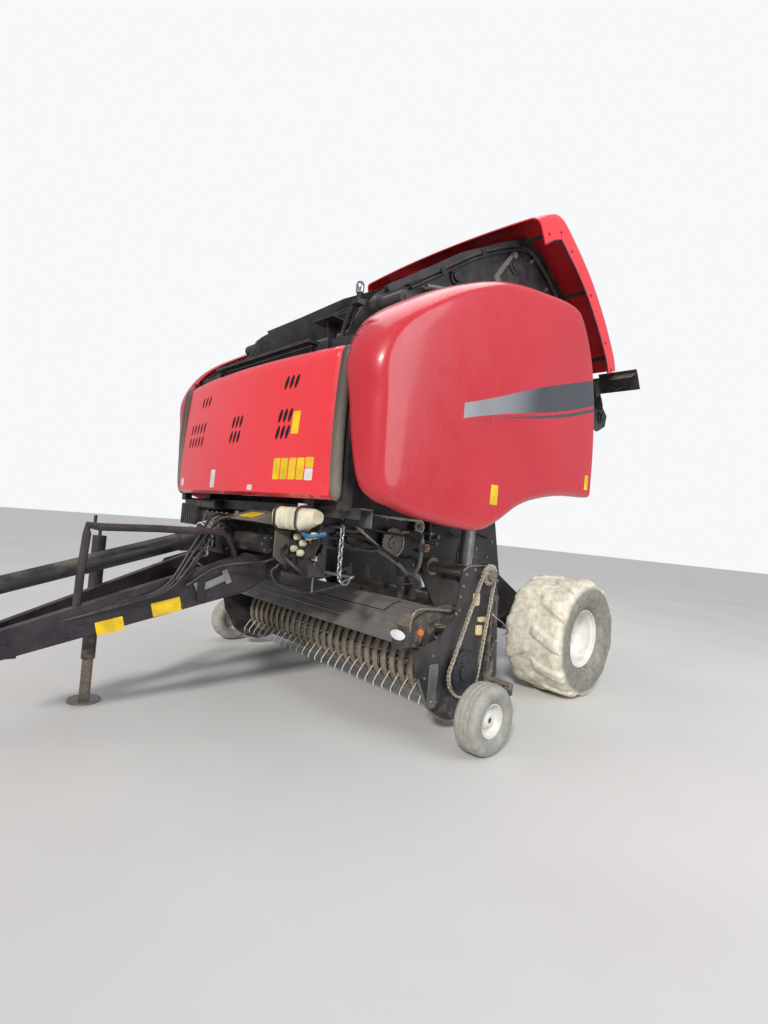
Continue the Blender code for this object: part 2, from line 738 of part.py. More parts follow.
def hood():
    """Skin over the tailgate's top and rear, with side flanges and a domed skin."""
    loops = []
    for station in hood_stations():
        outer = across_hood(station, HOOD_HALF, 0.0)
        inner = across_hood(station, HOOD_HALF - HOOD_T, -HOOD_T)
        loops.append(outer + list(reversed(inner)))
    return lift(loft(loops))


def rear_cover():
    """Raised cover that stands on the hood."""
    path = [(0.180, 2.480), (0.300, 2.440), (0.520, 2.280), (0.700, 2.060), (0.800, 1.790), (0.790, 1.700),
            (0.400, 1.640)]
    outline = strip(path, -0.010)
    core = loft([across_hood(station, HOOD_HALF + SEAT, SEAT) for station in hood_stations()])
    return lift(shape([prism(outline, "X", -0.780, 0.780)], [core]))


def light_bracket():
    """Plate for the rear lamps, on a stem bolted to the tailgate plate."""
    foot = box((GATE_X + GATE_T + SEAT, 0.480, 0.950), (GATE_X + 0.120, 0.492, 1.040))
    stem = box((GATE_X + GATE_RIB_T + GATE_T + 0.010, 0.480, 0.955), (GATE_X + 0.118, 0.492, 1.160))
    plate = box((GATE_X + 0.060, 0.482, 1.080), (1.140, 0.494, 1.230))
    return lift(shape([foot, stem, plate]))


# Cylinders

def cylinder_line():
    """Foot, and eye of the rod with the tailgate open."""
    foot = Vector((CYL_X, CYL_FOOT_Y, CYL_FOOT_Z))
    eye = turn_about((CYL_EYE_Y, CYL_EYE_Z), (PIVOT_Y, PIVOT_Z), OPEN_DEG)
    return foot, Vector((CYL_X, eye[0], eye[1]))


def cylinder_barrel():
    foot, eye = cylinder_line()
    along = (eye - foot).normalized()
    closed = (Vector((0.0, CYL_EYE_Y, CYL_EYE_Z)) - Vector((0.0, CYL_FOOT_Y, CYL_FOOT_Z))).length
    length = closed - 0.110
    bottom = foot + along * 0.050
    top = foot + along * length
    bore = CYL_R - CYL_WALL
    base = bar(bottom - along * 0.016, bottom + along * 0.020, CYL_R, 12)
    sleeve = tube(bottom, top, CYL_R, bore, 12)
    gland = tube(top - along * 0.060, top, CYL_R + 0.005, ROD_R + FIT, 12)
    eye_ring = disc("X", (foot.y, foot.z), EYE_R, CYL_X - EYE_W / 2.0, CYL_X + EYE_W / 2.0, 16)
    hole = disc("X", (foot.y, foot.z), PIN_R + FIT, CYL_X - 0.1, CYL_X + 0.1, 16)
    inside = bar(bottom + along * 0.025, top - along * 0.065, bore, 12)
    neck = bar(top - along * 0.100, top + along * 0.050, ROD_R + FIT, 12)
    return shape([base, sleeve, gland, eye_ring], [inside, neck, hole])


def cylinder_rod():
    foot, eye = cylinder_line()
    along = (eye - foot).normalized()
    closed = (Vector((0.0, CYL_EYE_Y, CYL_EYE_Z)) - Vector((0.0, CYL_FOOT_Y, CYL_FOOT_Z))).length
    top = foot + along * (closed - 0.110)
    tail = top - along * 0.120
    rod = bar(tail, eye - along * 0.020, ROD_R, 12)
    piston = bar(tail, tail + along * 0.030, CYL_R - CYL_WALL - FIT, 12)
    eye_ring = disc("X", (eye.y, eye.z), EYE_R, CYL_X - EYE_W / 2.0, CYL_X + EYE_W / 2.0, 16)
    pin = disc("X", (eye.y, eye.z), PIN_R, CYL_X - EYE_W / 2.0 - 0.001, CYL_X + EYE_W / 2.0 + 0.014, 12)
    return shape([rod, piston, eye_ring, pin])


# Side shields and front covers

SHIELD_FRONT = [(-2.245, 1.345), (-2.275, 1.560), (-2.292, 1.800), (-2.300, 2.020)]
SHIELD_TOP = [(-2.180, 2.245), (-1.930, 2.440), (-1.620, 2.615), (-1.240, 2.765), (-0.780, 2.848),
              (-0.470, 2.872), (-0.330, 2.800)]
SHIELD_REAR = [(-0.180, 2.560), (-0.090, 2.250), (-0.052, 1.900), (-0.045, 1.620), (-0.050, 1.535)]
SHIELD_LOW = [(-0.110, 1.515), (-0.470, 1.493), (-0.780, 1.440), (-0.990, 1.375), (-1.200, 1.262),
              (-1.370, 1.200), (-1.560, 1.200), (-1.900, 1.235), (-2.120, 1.272), (-2.210, 1.295)]


def shield():
    """Moulded side shield: a flat side whose front, top and lower edges roll inwards."""
    edges = [
        (SHIELD_FRONT, 0.185, 0.200, 1), (SHIELD_TOP, 0.120, 0.110, 2),
        (SHIELD_REAR, 0.030, 0.030, 1), (SHIELD_LOW, 0.040, 0.050, 1),
    ]
    outline = []
    depths = []
    insets = []
    for points, depth, inset, per in edges:
        run = smooth(points, per)
        outline += run
        depths += [depth] * len(run)
        insets += [inset] * len(run)
    for values in (depths, insets):
        for _ in range(2):
            count = len(values)
            values[:] = [(values[i - 1] + 2.0 * values[i] + values[(i + 1) % count]) / 4.0 for i in range(count)]
    sides = normals_of(outline, closed=True)
    turning = sum(
        outline[i - 1][0] * outline[i][1] - outline[i][0] * outline[i - 1][1] for i in range(len(outline))
    )
    inward = 1.0 if turning > 0.0 else -1.0

    def loop(roll, sink, grow):
        points = []
        for (y, z), (ny, nz), depth, inset in zip(outline, sides, depths, insets):
            turn = math.radians(roll)
            move = inward * (inset * (1.0 - math.cos(turn)) + grow)
            points.append((SHIELD_X - sink - depth * (1.0 - math.sin(turn)), y + ny * move, z + nz * move))
        return points

    rolls = (0.0, 30.0, 60.0, 90.0)
    outer = [loop(roll, 0.0, 0.0) for roll in reversed(rolls)]
    inner = [loop(roll, SHIELD_T, SHIELD_T) for roll in rolls]
    return loft(outer + inner)


def shield_with_hinges():
    """The shield with its hinge arms and a stiffening bow inside."""
    parts = [shield()]
    for y in KNUCKLE_YS:
        half = KNUCKLE_LEN / 2.0 - SEAT
        parts.append(box((SHIELD_HINGE_X, y - half, SHIELD_HINGE_Z - 0.008),
                         (SHIELD_X - 0.006, y + half, SHIELD_HINGE_Z + 0.008)))
        parts.append(ring("Y", (SHIELD_HINGE_X, SHIELD_HINGE_Z), HINGE_R, HINGE_R / 2.0 + FIT, y - half, y + half, 10))
    bores = [
        disc("Y", (SHIELD_HINGE_X, SHIELD_HINGE_Z), HINGE_R / 2.0 + FIT, y - 0.1, y + 0.1, 10)
        for y in KNUCKLE_YS
    ]
    return shape(parts, bores)


# First slot's place across the panel, its height, and the number of slots
LOUVRES = (
    (-0.580, 1.930, 3), (0.530, 1.925, 3),
    (-0.780, 1.745, 5), (-0.780, 1.660, 5),
    (-0.115, 1.745, 3), (-0.115, 1.660, 3),
    (0.500, 1.735, 3), (0.500, 1.650, 3),
)
LOUVRE_PITCH = 0.056
LOUVRE_H = 0.074


def front_panel():
    """Slightly domed front panel with groups of slanted louvres."""
    rows = [(PANEL_LOW_Z, -2.290), (PANEL_LOW_Z + 0.020, -2.325), (1.560, -2.322), (1.840, -2.308),
            (PANEL_TOP_Z - 0.030, -2.290), (PANEL_TOP_Z, -2.262)]
    loops = []
    dome = 0.060
    columns = [-1.0, -0.97, -0.7, -0.35, 0.0, 0.35, 0.7, 0.97, 1.0]
    for z, y in rows:
        front = []
        back = []
        for c in columns:
            edge = 0.030 if abs(c) > 0.99 else 0.0
            face = y + dome * (c * c) + edge
            front.append((c * PANEL_HALF, face - dome, z))
            back.append((c * PANEL_HALF, face - dome + PANEL_T, z))
        loops.append(front + list(reversed(back)))
    panel = loft(loops)
    slots = []
    for x, z, count in LOUVRES:
        for i in range(count):
            slots.append(slot_cut(x + i * LOUVRE_PITCH, z))
    arms = []
    bores = []
    for x in PANEL_HINGE_XS:
        low_x, high_x = x - PANEL_KNUCKLE / 2.0, x + PANEL_KNUCKLE / 2.0
        arms.append(prism([(-2.296, 2.060), (-2.296, 2.090), (PANEL_HINGE_Y - 0.006, PANEL_HINGE_Z + 0.012),
                           (PANEL_HINGE_Y + 0.010, PANEL_HINGE_Z + 0.010), (PANEL_HINGE_Y + 0.012, PANEL_HINGE_Z - 0.008),
                           (PANEL_HINGE_Y - 0.010, PANEL_HINGE_Z - 0.012)], "X", low_x, high_x))
        bores.append(disc("X", (PANEL_HINGE_Y, PANEL_HINGE_Z), 0.006 + FIT, low_x - 0.01, high_x + 0.01, 10))
    return shape([panel, gather(arms)], [gather(slots + bores)])


def slot_cut(x, z):
    """Leaning slot through the front panel."""
    loops = []
    half, lean = LOUVRE_H / 2.0, LOUVRE_H * 0.2
    for y in (-2.60, -2.10):
        loops.append([(x - 0.009 - lean, y, z - half), (x + 0.009 - lean, y, z - half),
                      (x + 0.009 + lean, y, z + half), (x - 0.009 + lean, y, z + half)])
    return loft(loops)


def seal_strip():
    """Half-round rubber strip between the front panel and the shield."""
    outline = [(-0.038, 0.0), (-0.038, -0.030), (-0.022, -0.050), (0.0, -0.056), (0.022, -0.050), (0.038, -0.030),
               (0.038, 0.0)]
    loops = []
    for z, y in ((1.200, -2.228), (1.260, -2.238), (1.560, -2.252), (1.840, -2.246), (2.080, -2.228)):
        loops.append([(SEAL_X + a, y + b, z) for a, b in outline])
    strip_body = loft(loops)
    foot = box((SEAL_X - 0.030, FRONT_Y - POST_D + 0.020 - 0.060, 1.205), (SEAL_X + 0.018, FRONT_Y - POST_D + 0.020 - SEAT, 1.255))
    top = box((SEAL_X - 0.030, FRONT_Y - POST_D + 0.020 - 0.050, 2.040), (SEAL_X + 0.018, FRONT_Y - POST_D + 0.020 - SEAT, 2.170))
    return shape([strip_body, foot, top])


def roof_grille():
    """Black slatted lid over the front housing, with a raised bracket and a lamp post."""
    top = HEAD_TOP_Z + SEAT
    half = WALL_X - 0.040
    slats = [box((-half + 0.02, y, top), (half - 0.02, y + 0.012, top + 0.012)) for y in (-2.235, -2.205, -2.175)]
    ends = [box((x, -2.270, top), (x + 0.040, -2.140, top + 0.018)) for x in (-half, half - 0.040)]
    rails = [box((-half, y, top), (half, y + 0.024, top + 0.018)) for y in (-2.270, -2.154)]
    return shape([rails[0], gather(ends), rails[1], gather(slats)])


# Drawbar and drive line

def drawbar():
    """A-shaped drawbar of two deep beams, closed by plates, with a towing eye."""
    parts = []
    for side in (-1.0, 1.0):
        rear = [(side * 0.300, FACE_Y - 0.002, 0.805), (side * 0.240, FACE_Y - 0.002, 0.805),
                (side * 0.240, FACE_Y - 0.002, 0.955), (side * 0.300, FACE_Y - 0.002, 0.955)]
        middle = [(side * 0.290, -2.360, 0.720), (side * 0.230, -2.360, 0.720),
                  (side * 0.230, -2.360, 0.945), (side * 0.290, -2.360, 0.945)]
        front = [(side * 0.100, -3.520, 0.390), (side * 0.045, -3.520, 0.390),
                 (side * 0.045, -3.520, 0.530), (side * 0.100, -3.520, 0.530)]
        parts.append(loft([rear, middle, front]))
    nose = box((-0.098, -3.640, 0.400), (0.098, -3.430, 0.520))
    eye = ring("Z", (0.0, EYE_Y), 0.062, EYE_HOLE_R, EYE_Z - 0.020, EYE_Z + 0.020, 16)
    shank = box((-0.035, EYE_Y + 0.045, EYE_Z - 0.020), (0.035, -3.600, EYE_Z + 0.020))
    cross = box((-0.270, -2.640, 0.680), (0.270, -2.600, 0.820))
    base = box((-0.420, FACE_Y - 0.016, 0.800), (0.420, FACE_Y - SEAT, 0.975))
    jack_boss = disc("X", (JACK_Y, JACK_Z), 0.045, JACK_X + JACK_R + 0.012 + FIT, -0.130, 12)
    hoop = pipe(smooth([(0.255, -2.420, 0.900), (0.250, -2.480, 1.040), (0.225, -2.600, 1.060),
                        (0.140, -3.120, 1.050), (0.128, -3.185, 1.010), (0.122, -3.200, 0.600)], 2), 0.020, 8)
    hole = disc("Z", (0.0, EYE_Y), EYE_HOLE_R, EYE_Z - 0.1, EYE_Z + 0.1, 16)
    return shape([nose] + parts + [shank, eye, cross, base, jack_boss, hoop], [hole])


def gearbox():
    """Cast gearbox with an input flange and a cross shaft housing."""
    body = box((-0.150, FRONT_Y - POST_D - 0.240, 0.930), (0.150, FACE_Y - 0.016 - SEAT, 1.170))
    cross = disc("X", (FRONT_Y - POST_D - 0.130, 1.020), 0.055, -0.250, 0.480, 12)
    along = Vector((0.0, -math.cos(math.radians(DRIVE_DEG)), -math.sin(math.radians(DRIVE_DEG))))
    start = Vector((0.0, DRIVE_Y, DRIVE_Z)) - along * 0.160
    flange = bar(start, start + along * 0.060, 0.085, 16)
    stub = bar(start, Vector((0.0, DRIVE_Y, DRIVE_Z)), 0.020, 12)
    knuckle = disc("X", (DRIVE_Y, DRIVE_Z), KNUCKLE_R, -KNUCKLE_HALF, KNUCKLE_HALF, 16)
    return shape([body, cross, flange, stub, knuckle])


def drive_rear():
    """Rear half of the drive line: guard tube with its bell, open inside."""
    along = Vector((0.0, -math.cos(math.radians(DRIVE_DEG)), -math.sin(math.radians(DRIVE_DEG))))
    start = Vector((0.0, DRIVE_Y, DRIVE_Z))
    bell = bar(start, start + along * 0.110, 0.075, 16, 0.058)
    socket = disc("X", (DRIVE_Y, DRIVE_Z), KNUCKLE_R + FIT, -KNUCKLE_HALF - FIT, KNUCKLE_HALF + FIT, 16)
    outer = tube(start + along * 0.080, start + along * DRIVE_REAR_LEN, GUARD_TUBE_R, GUARD_TUBE_R - GUARD_TUBE_WALL, 16)
    return shape([bell, outer], [socket])


def drive_front():
    """Front half of the drive line, which slides in the guard tube, with a bell and a yoke."""
    along = Vector((0.0, -math.cos(math.radians(DRIVE_DEG)), -math.sin(math.radians(DRIVE_DEG))))
    start = Vector((0.0, DRIVE_Y, DRIVE_Z))
    radius = GUARD_TUBE_R - GUARD_TUBE_WALL - FIT
    inner = bar(start + along * 0.500, start + along * 1.150, radius, 16)
    bell = bar(start + along * 1.080, start + along * 1.200, 0.056, 24, 0.078)
    yoke = bar(start + along * 1.190, start + along * 1.260, 0.036, 16)
    return shape([inner, bell, yoke])


def jack_tube():
    """Jack body on its swivel flange, with the crank on top."""
    body = disc("Z", (JACK_X, JACK_Y), JACK_R, 0.250, 0.975, 16)
    bore = disc("Z", (JACK_X, JACK_Y), JACK_LEG_R + FIT, 0.200, 0.950, 16)
    flange = disc("X", (JACK_Y, JACK_Z), 0.048, JACK_X, JACK_X + JACK_R + 0.012, 12)
    crank = pipe([(JACK_X, JACK_Y, 0.965), (JACK_X, JACK_Y, 1.010), (JACK_X - 0.120, JACK_Y, 1.010),
                  (JACK_X - 0.120, JACK_Y, 1.090)], 0.010, 6)
    return shape([body, flange, crank], [bore])


def jack_leg():
    leg = disc("Z", (JACK_X, JACK_Y), JACK_LEG_R, 0.010, 0.640, 16)
    foot = disc("Z", (JACK_X, JACK_Y), 0.090, 0.0, 0.012, 16)
    return shape([leg, foot])


def tank():
    """Plastic tank under the front panel, with round edges and raised bands."""
    low_y, high_y = -2.400, FRONT_Y - POST_D - SEAT
    low_z, high_z = 1.085, 1.240

    def section(shrink):
        a, b, c, d = low_y + shrink, high_y, low_z + shrink, high_z - shrink
        return [(a + 0.035, c), (b - 0.035, c), (b, c + 0.030), (b, d - 0.020), (b - 0.020, d), (a + 0.045, d),
                (a + 0.010, d - 0.030), (a, d - 0.060), (a + 0.008, c + 0.030)]

    body = prism(section(0.006), "X", 0.350, 0.800)
    bands = [prism(section(0.0), "X", x, x + 0.060) for x in (0.380, 0.545, 0.710)]
    return shape([body, gather(bands)])


def valve_block():
    """Plate with six round knobs in two rows."""
    y = FRONT_Y - POST_D
    plate = box((0.440, y - 0.014, 0.865), (0.580, FACE_Y - SEAT, 1.060))
    knobs = []
    for row, z in enumerate((0.905, 0.960, 1.015)):
        for x in (0.480, 0.540):
            knobs.append(disc("Y", (x + 0.010 * row, z), 0.016, y - 0.055, y - 0.010, 8))
    return shape([plate, gather(knobs)])


# Pickup, on the axis of its upper chain wheel

PLATE_OUTLINE = [
    (-1.420, 0.960), (-1.340, 0.990), (-1.100, 0.990), (-1.040, 0.800), (-0.985, 0.300),
    (-1.000, 0.225), (-1.160, 0.120), (-1.300, 0.070), (-1.400, 0.058), (-1.520, 0.095), (-1.640, 0.180),
    (-1.740, 0.350), (-1.780, 0.500), (-1.570, 0.570), (-1.450, 0.690),
]


def pickup_plate():
    plate = prism(PLATE_OUTLINE, "X", PLATE_X, PLATE_X + PLATE_T)
    hub = disc("X", (PICKUP_Y, PICKUP_Z), 0.068, PLATE_X - 0.020, PLATE_X + PLATE_T + 0.006, 16)
    bores = [
        disc("X", (PICKUP_Y, PICKUP_Z), PICKUP_SHAFT_R + FIT, PLATE_X - 0.1, PLATE_X + 0.1, 24),
        disc("X", (REEL_Y, REEL_Z), REEL_SHAFT_R + FIT, PLATE_X - 0.1, PLATE_X + 0.1, 16),
        disc("X", (CROSS_Y, CROSS_Z), CROSS_R + SEAT, PLATE_X - 0.1, PLATE_X + 0.1, 12),
        disc("X", (GUARD_Y, GUARD_Z), GUARD_PIN_R + FIT, PLATE_X - 0.1, PLATE_X + 0.1, 16),
    ]
    return shape([plate, hub], bores)


def pickup_cross():
    """Tube between the side plates, carrying the stripper bands and the crop pan."""
    end = PLATE_X + PLATE_T
    cross = disc("X", (CROSS_Y, CROSS_Z), CROSS_R, -end, end, 12)
    pan_half = PLATE_X - SEAT
    pan = strip([(-1.105, 0.522), (-1.060, 0.500), (-1.040, 0.460), (-1.030, 0.300)], -0.006)
    pan = prism(pan, "X", -pan_half, pan_half)
    bands = []
    path = [(-1.060, 0.250)] + arc((REEL_Y, REEL_Z), BAND_R, -52.0, -270.0, 4) + [(-1.090, 0.527)]
    outline = strip(path, -BAND_T)
    first = -(TINES - 1) / 2.0
    for i in range(TINES - 1):
        middle = (first + i + 0.5) * TINE_PITCH
        bands.append(prism(outline, "X", middle - BAND_W / 2.0, middle + BAND_W / 2.0))
    return shape([cross, pan, gather(bands)])


def tine_bar(turn):
    """Hexagonal bar of the reel with its row of tines, drawn as one skin."""
    out = Vector((0.0, math.cos(turn), math.sin(turn)))
    across = Vector((0.0, -math.sin(turn), math.cos(turn)))
    centre = Vector((0.0, REEL_Y, REEL_Z)) + out * BAR_CIRCLE_R
    flat = BAR_R * math.cos(math.radians(30.0))
    half_row = TINES * TINE_PITCH / 2.0
    points = []
    faces = []

    def add(x, a, b):
        points.append(centre + Vector((x, 0.0, 0.0)) + across * a + out * b)
        return len(points) - 1

    low = []
    high = []
    for i in range(TINES + 1):
        x = i * TINE_PITCH - half_row
        low.append(add(x, -BAR_R / 2.0, flat))
        high.append(add(x, BAR_R / 2.0, flat))
    lean = math.sin(math.radians(TINE_LEAN_DEG)) * (TINE_TIP_R - BAR_CIRCLE_R)
    reach = math.sqrt(TINE_TIP_R ** 2 - lean ** 2) - BAR_CIRCLE_R
    for i in range(TINES):
        x = (i + 0.5) * TINE_PITCH - half_row
        root = [add(x - TINE_R, -TINE_R, flat), add(x + TINE_R, -TINE_R, flat), add(x, TINE_R, flat)]
        tip = [add(x - TINE_R, lean - TINE_R, reach), add(x + TINE_R, lean - TINE_R, reach), add(x, lean + TINE_R, reach)]
        faces.append((low[i], low[i + 1], root[1], root[0]))
        faces.append((low[i + 1], high[i + 1], high[i], root[2], root[1]))
        faces.append((high[i], low[i], root[0], root[2]))
        for k in range(3):
            n = (k + 1) % 3
            faces.append((root[k], root[n], tip[n], tip[k]))
        faces.append(tuple(tip))
    back = [(-BAR_R, 0.0), (-BAR_R / 2.0, -flat), (BAR_R / 2.0, -flat), (BAR_R, 0.0)]
    first = [add(-half_row, a, b) for a, b in back]
    last = [add(half_row, a, b) for a, b in back]
    faces.append(tuple(low + [last[0], first[0]]))
    faces.append(tuple(high + [last[3], first[3]]))
    for k in range(3):
        faces.append((first[k], first[k + 1], last[k + 1], last[k]))
    faces.append((low[0], high[0], first[3], first[2], first[1], first[0]))
    faces.append((low[-1], high[-1], last[3], last[2], last[1], last[0]))
    return solid(points, faces)


def reel():
    """Tine reel: shaft, spiders, tine bars and their spring tines, with the driven chain wheel."""
    shaft = disc("X", (REEL_Y, REEL_Z), REEL_SHAFT_R, -PLATE_X - PLATE_T - 0.020, CHAIN_X + 0.010, 16)
    half = TINES * TINE_PITCH / 2.0
    bars = [tine_bar(math.radians(20.0 + 360.0 * k / REEL_BARS)) for k in range(REEL_BARS)]
    spiders = [
        disc("X", (REEL_Y, REEL_Z), BAR_CIRCLE_R + 0.004, x - 0.004, x + 0.004, 8)
        for x in (-half + 0.004, 0.0, half - 0.004)
    ]
    sprocket = disc("X", (REEL_Y, REEL_Z), REEL_SPROCKET_R - CHAIN_H - CHAIN_SAG, CHAIN_X - 0.004, CHAIN_X + 0.004, 20)
    return shape([shaft, gather(spiders), gather(bars), sprocket])


def chain_drive():
    """Roller chain round the two chain wheels, with the upper wheel on the lifting axis."""
    upper, lower = (PICKUP_Y, PICKUP_Z), (REEL_Y, REEL_Z)
    run = Vector(lower) - Vector(upper)
    heading = math.degrees(math.atan2(run.y, run.x))
    spread = math.degrees(math.acos((REEL_SPROCKET_R - TOP_SPROCKET_R) / run.length))
    path = []
    path += arc(lower, REEL_SPROCKET_R, heading - spread, heading + spread, 24)
    path += arc(upper, TOP_SPROCKET_R, heading + spread, heading + 360.0 - spread, 12)
    total = 0.0
    points = [Vector(p) for p in path]
    points.append(points[0])
    lengths = [(points[i + 1] - points[i]).length for i in range(len(points) - 1)]
    total = sum(lengths)
    count = 2 * round(total / CHAIN_PITCH)
    outer = []
    inner = []
    for k in range(count):
        place_on = total * k / count
        i = 0
        while place_on > lengths[i]:
            place_on -= lengths[i]
            i += 1
        spot = points[i].lerp(points[i + 1], place_on / lengths[i])
        along = (points[i + 1] - points[i]).normalized()
        out = Vector((along.y, -along.x))
        bulge = CHAIN_H if k % 2 else 0.0060
        outer.append(spot + out * bulge)
        inner.append(spot - out * bulge)
    low, high = CHAIN_X - CHAIN_W / 2.0, CHAIN_X + CHAIN_W / 2.0
    chain = loft([
        [(low, *p) for p in inner], [(high, *p) for p in inner],
        [(high, *p) for p in outer], [(low, *p) for p in outer],
    ], closed=True)
    wheel = disc("X", upper, TOP_SPROCKET_R - 0.002, CHAIN_X - 0.003, CHAIN_X + 0.003, 24)
    hub = disc("X", upper, 0.050, PLATE_X + PLATE_T + 0.006 + SEAT, CHAIN_X + 0.004, 16)
    bore = disc("X", upper, PICKUP_SHAFT_R + FIT, PLATE_X - 0.1, PLATE_X + 0.1, 24)
    return shape([hub, wheel, chain], [bore])


def wind_guard():
    """Folded sheet that presses the swath down, on two arms, with end boxes."""
    sheet = strip([(-1.500, 0.722), (-1.620, 0.700), (-1.770, 0.600), (-1.800, 0.530)], 0.008)
    parts = [prism(sheet, "X", -GUARD_HALF, GUARD_HALF)]
    parts.append(prism(strip([(-1.800, 0.540), (-1.770, 0.520), (-1.640, 0.500)], 0.008), "X", -GUARD_HALF, GUARD_HALF))
    for side in (-1.0, 1.0):
        a, b = side * (GUARD_HALF - 0.012), side * (GUARD_HALF + 0.010)
        x0, x1 = min(a, b), max(a, b)
        arm = [(-1.400, 0.745), (-1.400, 0.695), (-1.440, 0.690), (-1.640, 0.640), (-1.700, 0.520), (-1.810, 0.520),
               (-1.800, 0.640), (-1.640, 0.720), (-1.480, 0.745)]
        parts.append(prism(arm, "X", x0, x1))
        c, d = side * GUARD_HALF, side * (PLATE_X + PLATE_T + 0.008)
        parts.append(disc("X", (GUARD_Y, GUARD_Z), GUARD_PIN_R, min(c, d), max(c, d), 16))
    return shape(parts[:1] + parts[1:])


def gauge_arm():
    """Slotted bar behind the side plate and the bracket that carries the gauge wheel."""
    post = box((PLATE_X + PLATE_T + SEAT, -1.130, 0.200), (PLATE_X + PLATE_T + 0.022, -1.060, 0.800))
    out = box((PLATE_X + PLATE_T + 0.010, -1.130, 0.215), (GAUGE_X - 0.115, -1.060, 0.285))
    arm = [(-1.060, 0.285), (-1.060, 0.215), (GAUGE_Y, GAUGE_R - 0.028), (GAUGE_Y - 0.030, GAUGE_R), (GAUGE_Y, GAUGE_R + 0.028)]
    arm = prism(arm, "X", GAUGE_X - 0.127, GAUGE_X - 0.112)
    pin = disc("X", (GAUGE_Y, GAUGE_R), GAUGE_PIN_R, GAUGE_X - 0.120, GAUGE_X + 0.038, 16)
    collar = disc("X", (GAUGE_Y, GAUGE_R), 0.026, GAUGE_X - 0.120, GAUGE_X - 0.0505, 10)
    slots = [box((PLATE_X - 0.1, -1.103, z), (PLATE_X + 0.06, -1.087, z + 0.060)) for z in (0.360, 0.480, 0.600, 0.700)]
    return shape([post, out, arm, pin, collar], [gather(slots)])


def rotor():
    """Feed rotor with rows of star teeth."""
    half = WALL_X - PLAY
    shaft = disc("X", (ROTOR_Y, ROTOR_Z), ROTOR_SHAFT_R, -WALL_X - WALL_T - 0.030, WALL_X + WALL_T + 0.030, 20)
    drum = disc("X", (ROTOR_Y, ROTOR_Z), ROTOR_TUBE_R, -half, half, 12)
    stars = []
    rows = 5
    for i in range(rows):
        x = (i - (rows - 1) / 2.0) * 0.260
        outline = []
        for k in range(4):
            turn = 2.0 * math.pi * k / 4 + 0.16 * i
            for offset, radius in ((-0.50, 0.070), (-0.10, ROTOR_TIP_R), (0.06, ROTOR_TIP_R)):
                outline.append((ROTOR_Y + radius * math.cos(turn + offset), ROTOR_Z + radius * math.sin(turn + offset)))
        stars.append(prism(outline, "X", x - 0.004, x + 0.004))
    return shape([drum, shaft, gather(stars)])


def main():
    clear_scene()
    reel_at = (0.0, REEL_Y, REEL_Z)
    pickup_at = (0.0, PICKUP_Y, PICKUP_Z)
    gate_at = (0.0, PIVOT_Y, PIVOT_Z)
    hub_at = (TRACK_X, 0.0, TYRE_R)
    gauge_at = (GAUGE_X, GAUGE_Y, GAUGE_R)
    foot, eye = cylinder_line()
    on_both_sides("main_tyre", main_tyre, RUBBER, hub_at)
    on_both_sides("main_rim", main_rim, WHITE, hub_at)
    on_both_sides("gauge_tyre", gauge_tyre, RUBBER, gauge_at)
    on_both_sides("gauge_rim", gauge_rim, WHITE, gauge_at)
    place("axle_beam", axle_beam(), BLACK)
    on_both_sides("chamber_wall", chamber_wall, BLACK)
    place("front_frame", front_frame(), BLACK)
    place("pivot_beam", pivot_beam(), BLACK)
    on_both_sides("pickup_shaft", side_shafts, STEEL)
    on_both_sides("foot_pin", foot_pin, STEEL)
    place("front_belts", front_belts(), BELT)
    on_both_sides("tailgate_plate", gate_plate, BLACK, gate_at)
    place("tailgate_belts", gate_belts(), BELT, gate_at)
    place("tailgate_cross", gate_cross(), BLACK, gate_at)
    place("hood", hood(), RED, gate_at)
    place("rear_cover", rear_cover(), RED, gate_at)
    on_both_sides("light_bracket", light_bracket, BLACK, gate_at)
    on_both_sides("cylinder_barrel", cylinder_barrel, BLACK, tuple(foot))
    on_both_sides("cylinder_rod", cylinder_rod, CHROME, tuple(eye))
    on_both_sides("shield", shield_with_hinges, RED, (SHIELD_HINGE_X, 0.0, SHIELD_HINGE_Z))
    place("front_panel", front_panel(), RED, (0.0, PANEL_HINGE_Y, PANEL_HINGE_Z))
    on_both_sides("seal_strip", seal_strip, STRIP)
    place("roof_grille", roof_grille(), BLACK)
    place("drawbar", drawbar(), BLACK)
    place("gearbox", gearbox(), BLACK)
    place("drive_line_rear", drive_rear(), GREY, (0.0, DRIVE_Y, DRIVE_Z))
    place("drive_line_front", drive_front(), GREY, (0.0, DRIVE_Y, DRIVE_Z))
    place("jack_tube", jack_tube(), BLACK, (JACK_X, JACK_Y, JACK_Z))
    place("jack_leg", jack_leg(), STEEL, (JACK_X, JACK_Y, JACK_Z))
    place("tank", tank(), CREAM)
    place("valve_block", valve_block(), BLACK)
    on_both_sides("pickup_plate", pickup_plate, BLACK, pickup_at)
    place("pickup_cross", pickup_cross(), STEEL, pickup_at)
    place("reel", reel(), STEEL, reel_at)
    place("chain_drive", chain_drive(), STEEL, pickup_at)
    place("wind_guard", wind_guard(), BLACK, (0.0, GUARD_Y, GUARD_Z))
    on_both_sides("gauge_arm", gauge_arm, BLACK, pickup_at)
    place("rotor", rotor(), STEEL, (0.0, ROTOR_Y, ROTOR_Z))


main()
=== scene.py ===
import random
from functools import partialmethod
from math import acos, atan2, cos, degrees, exp, pi, radians, sin, sqrt, tau

import bmesh
import bpy
from mathutils import Matrix, Vector, noise


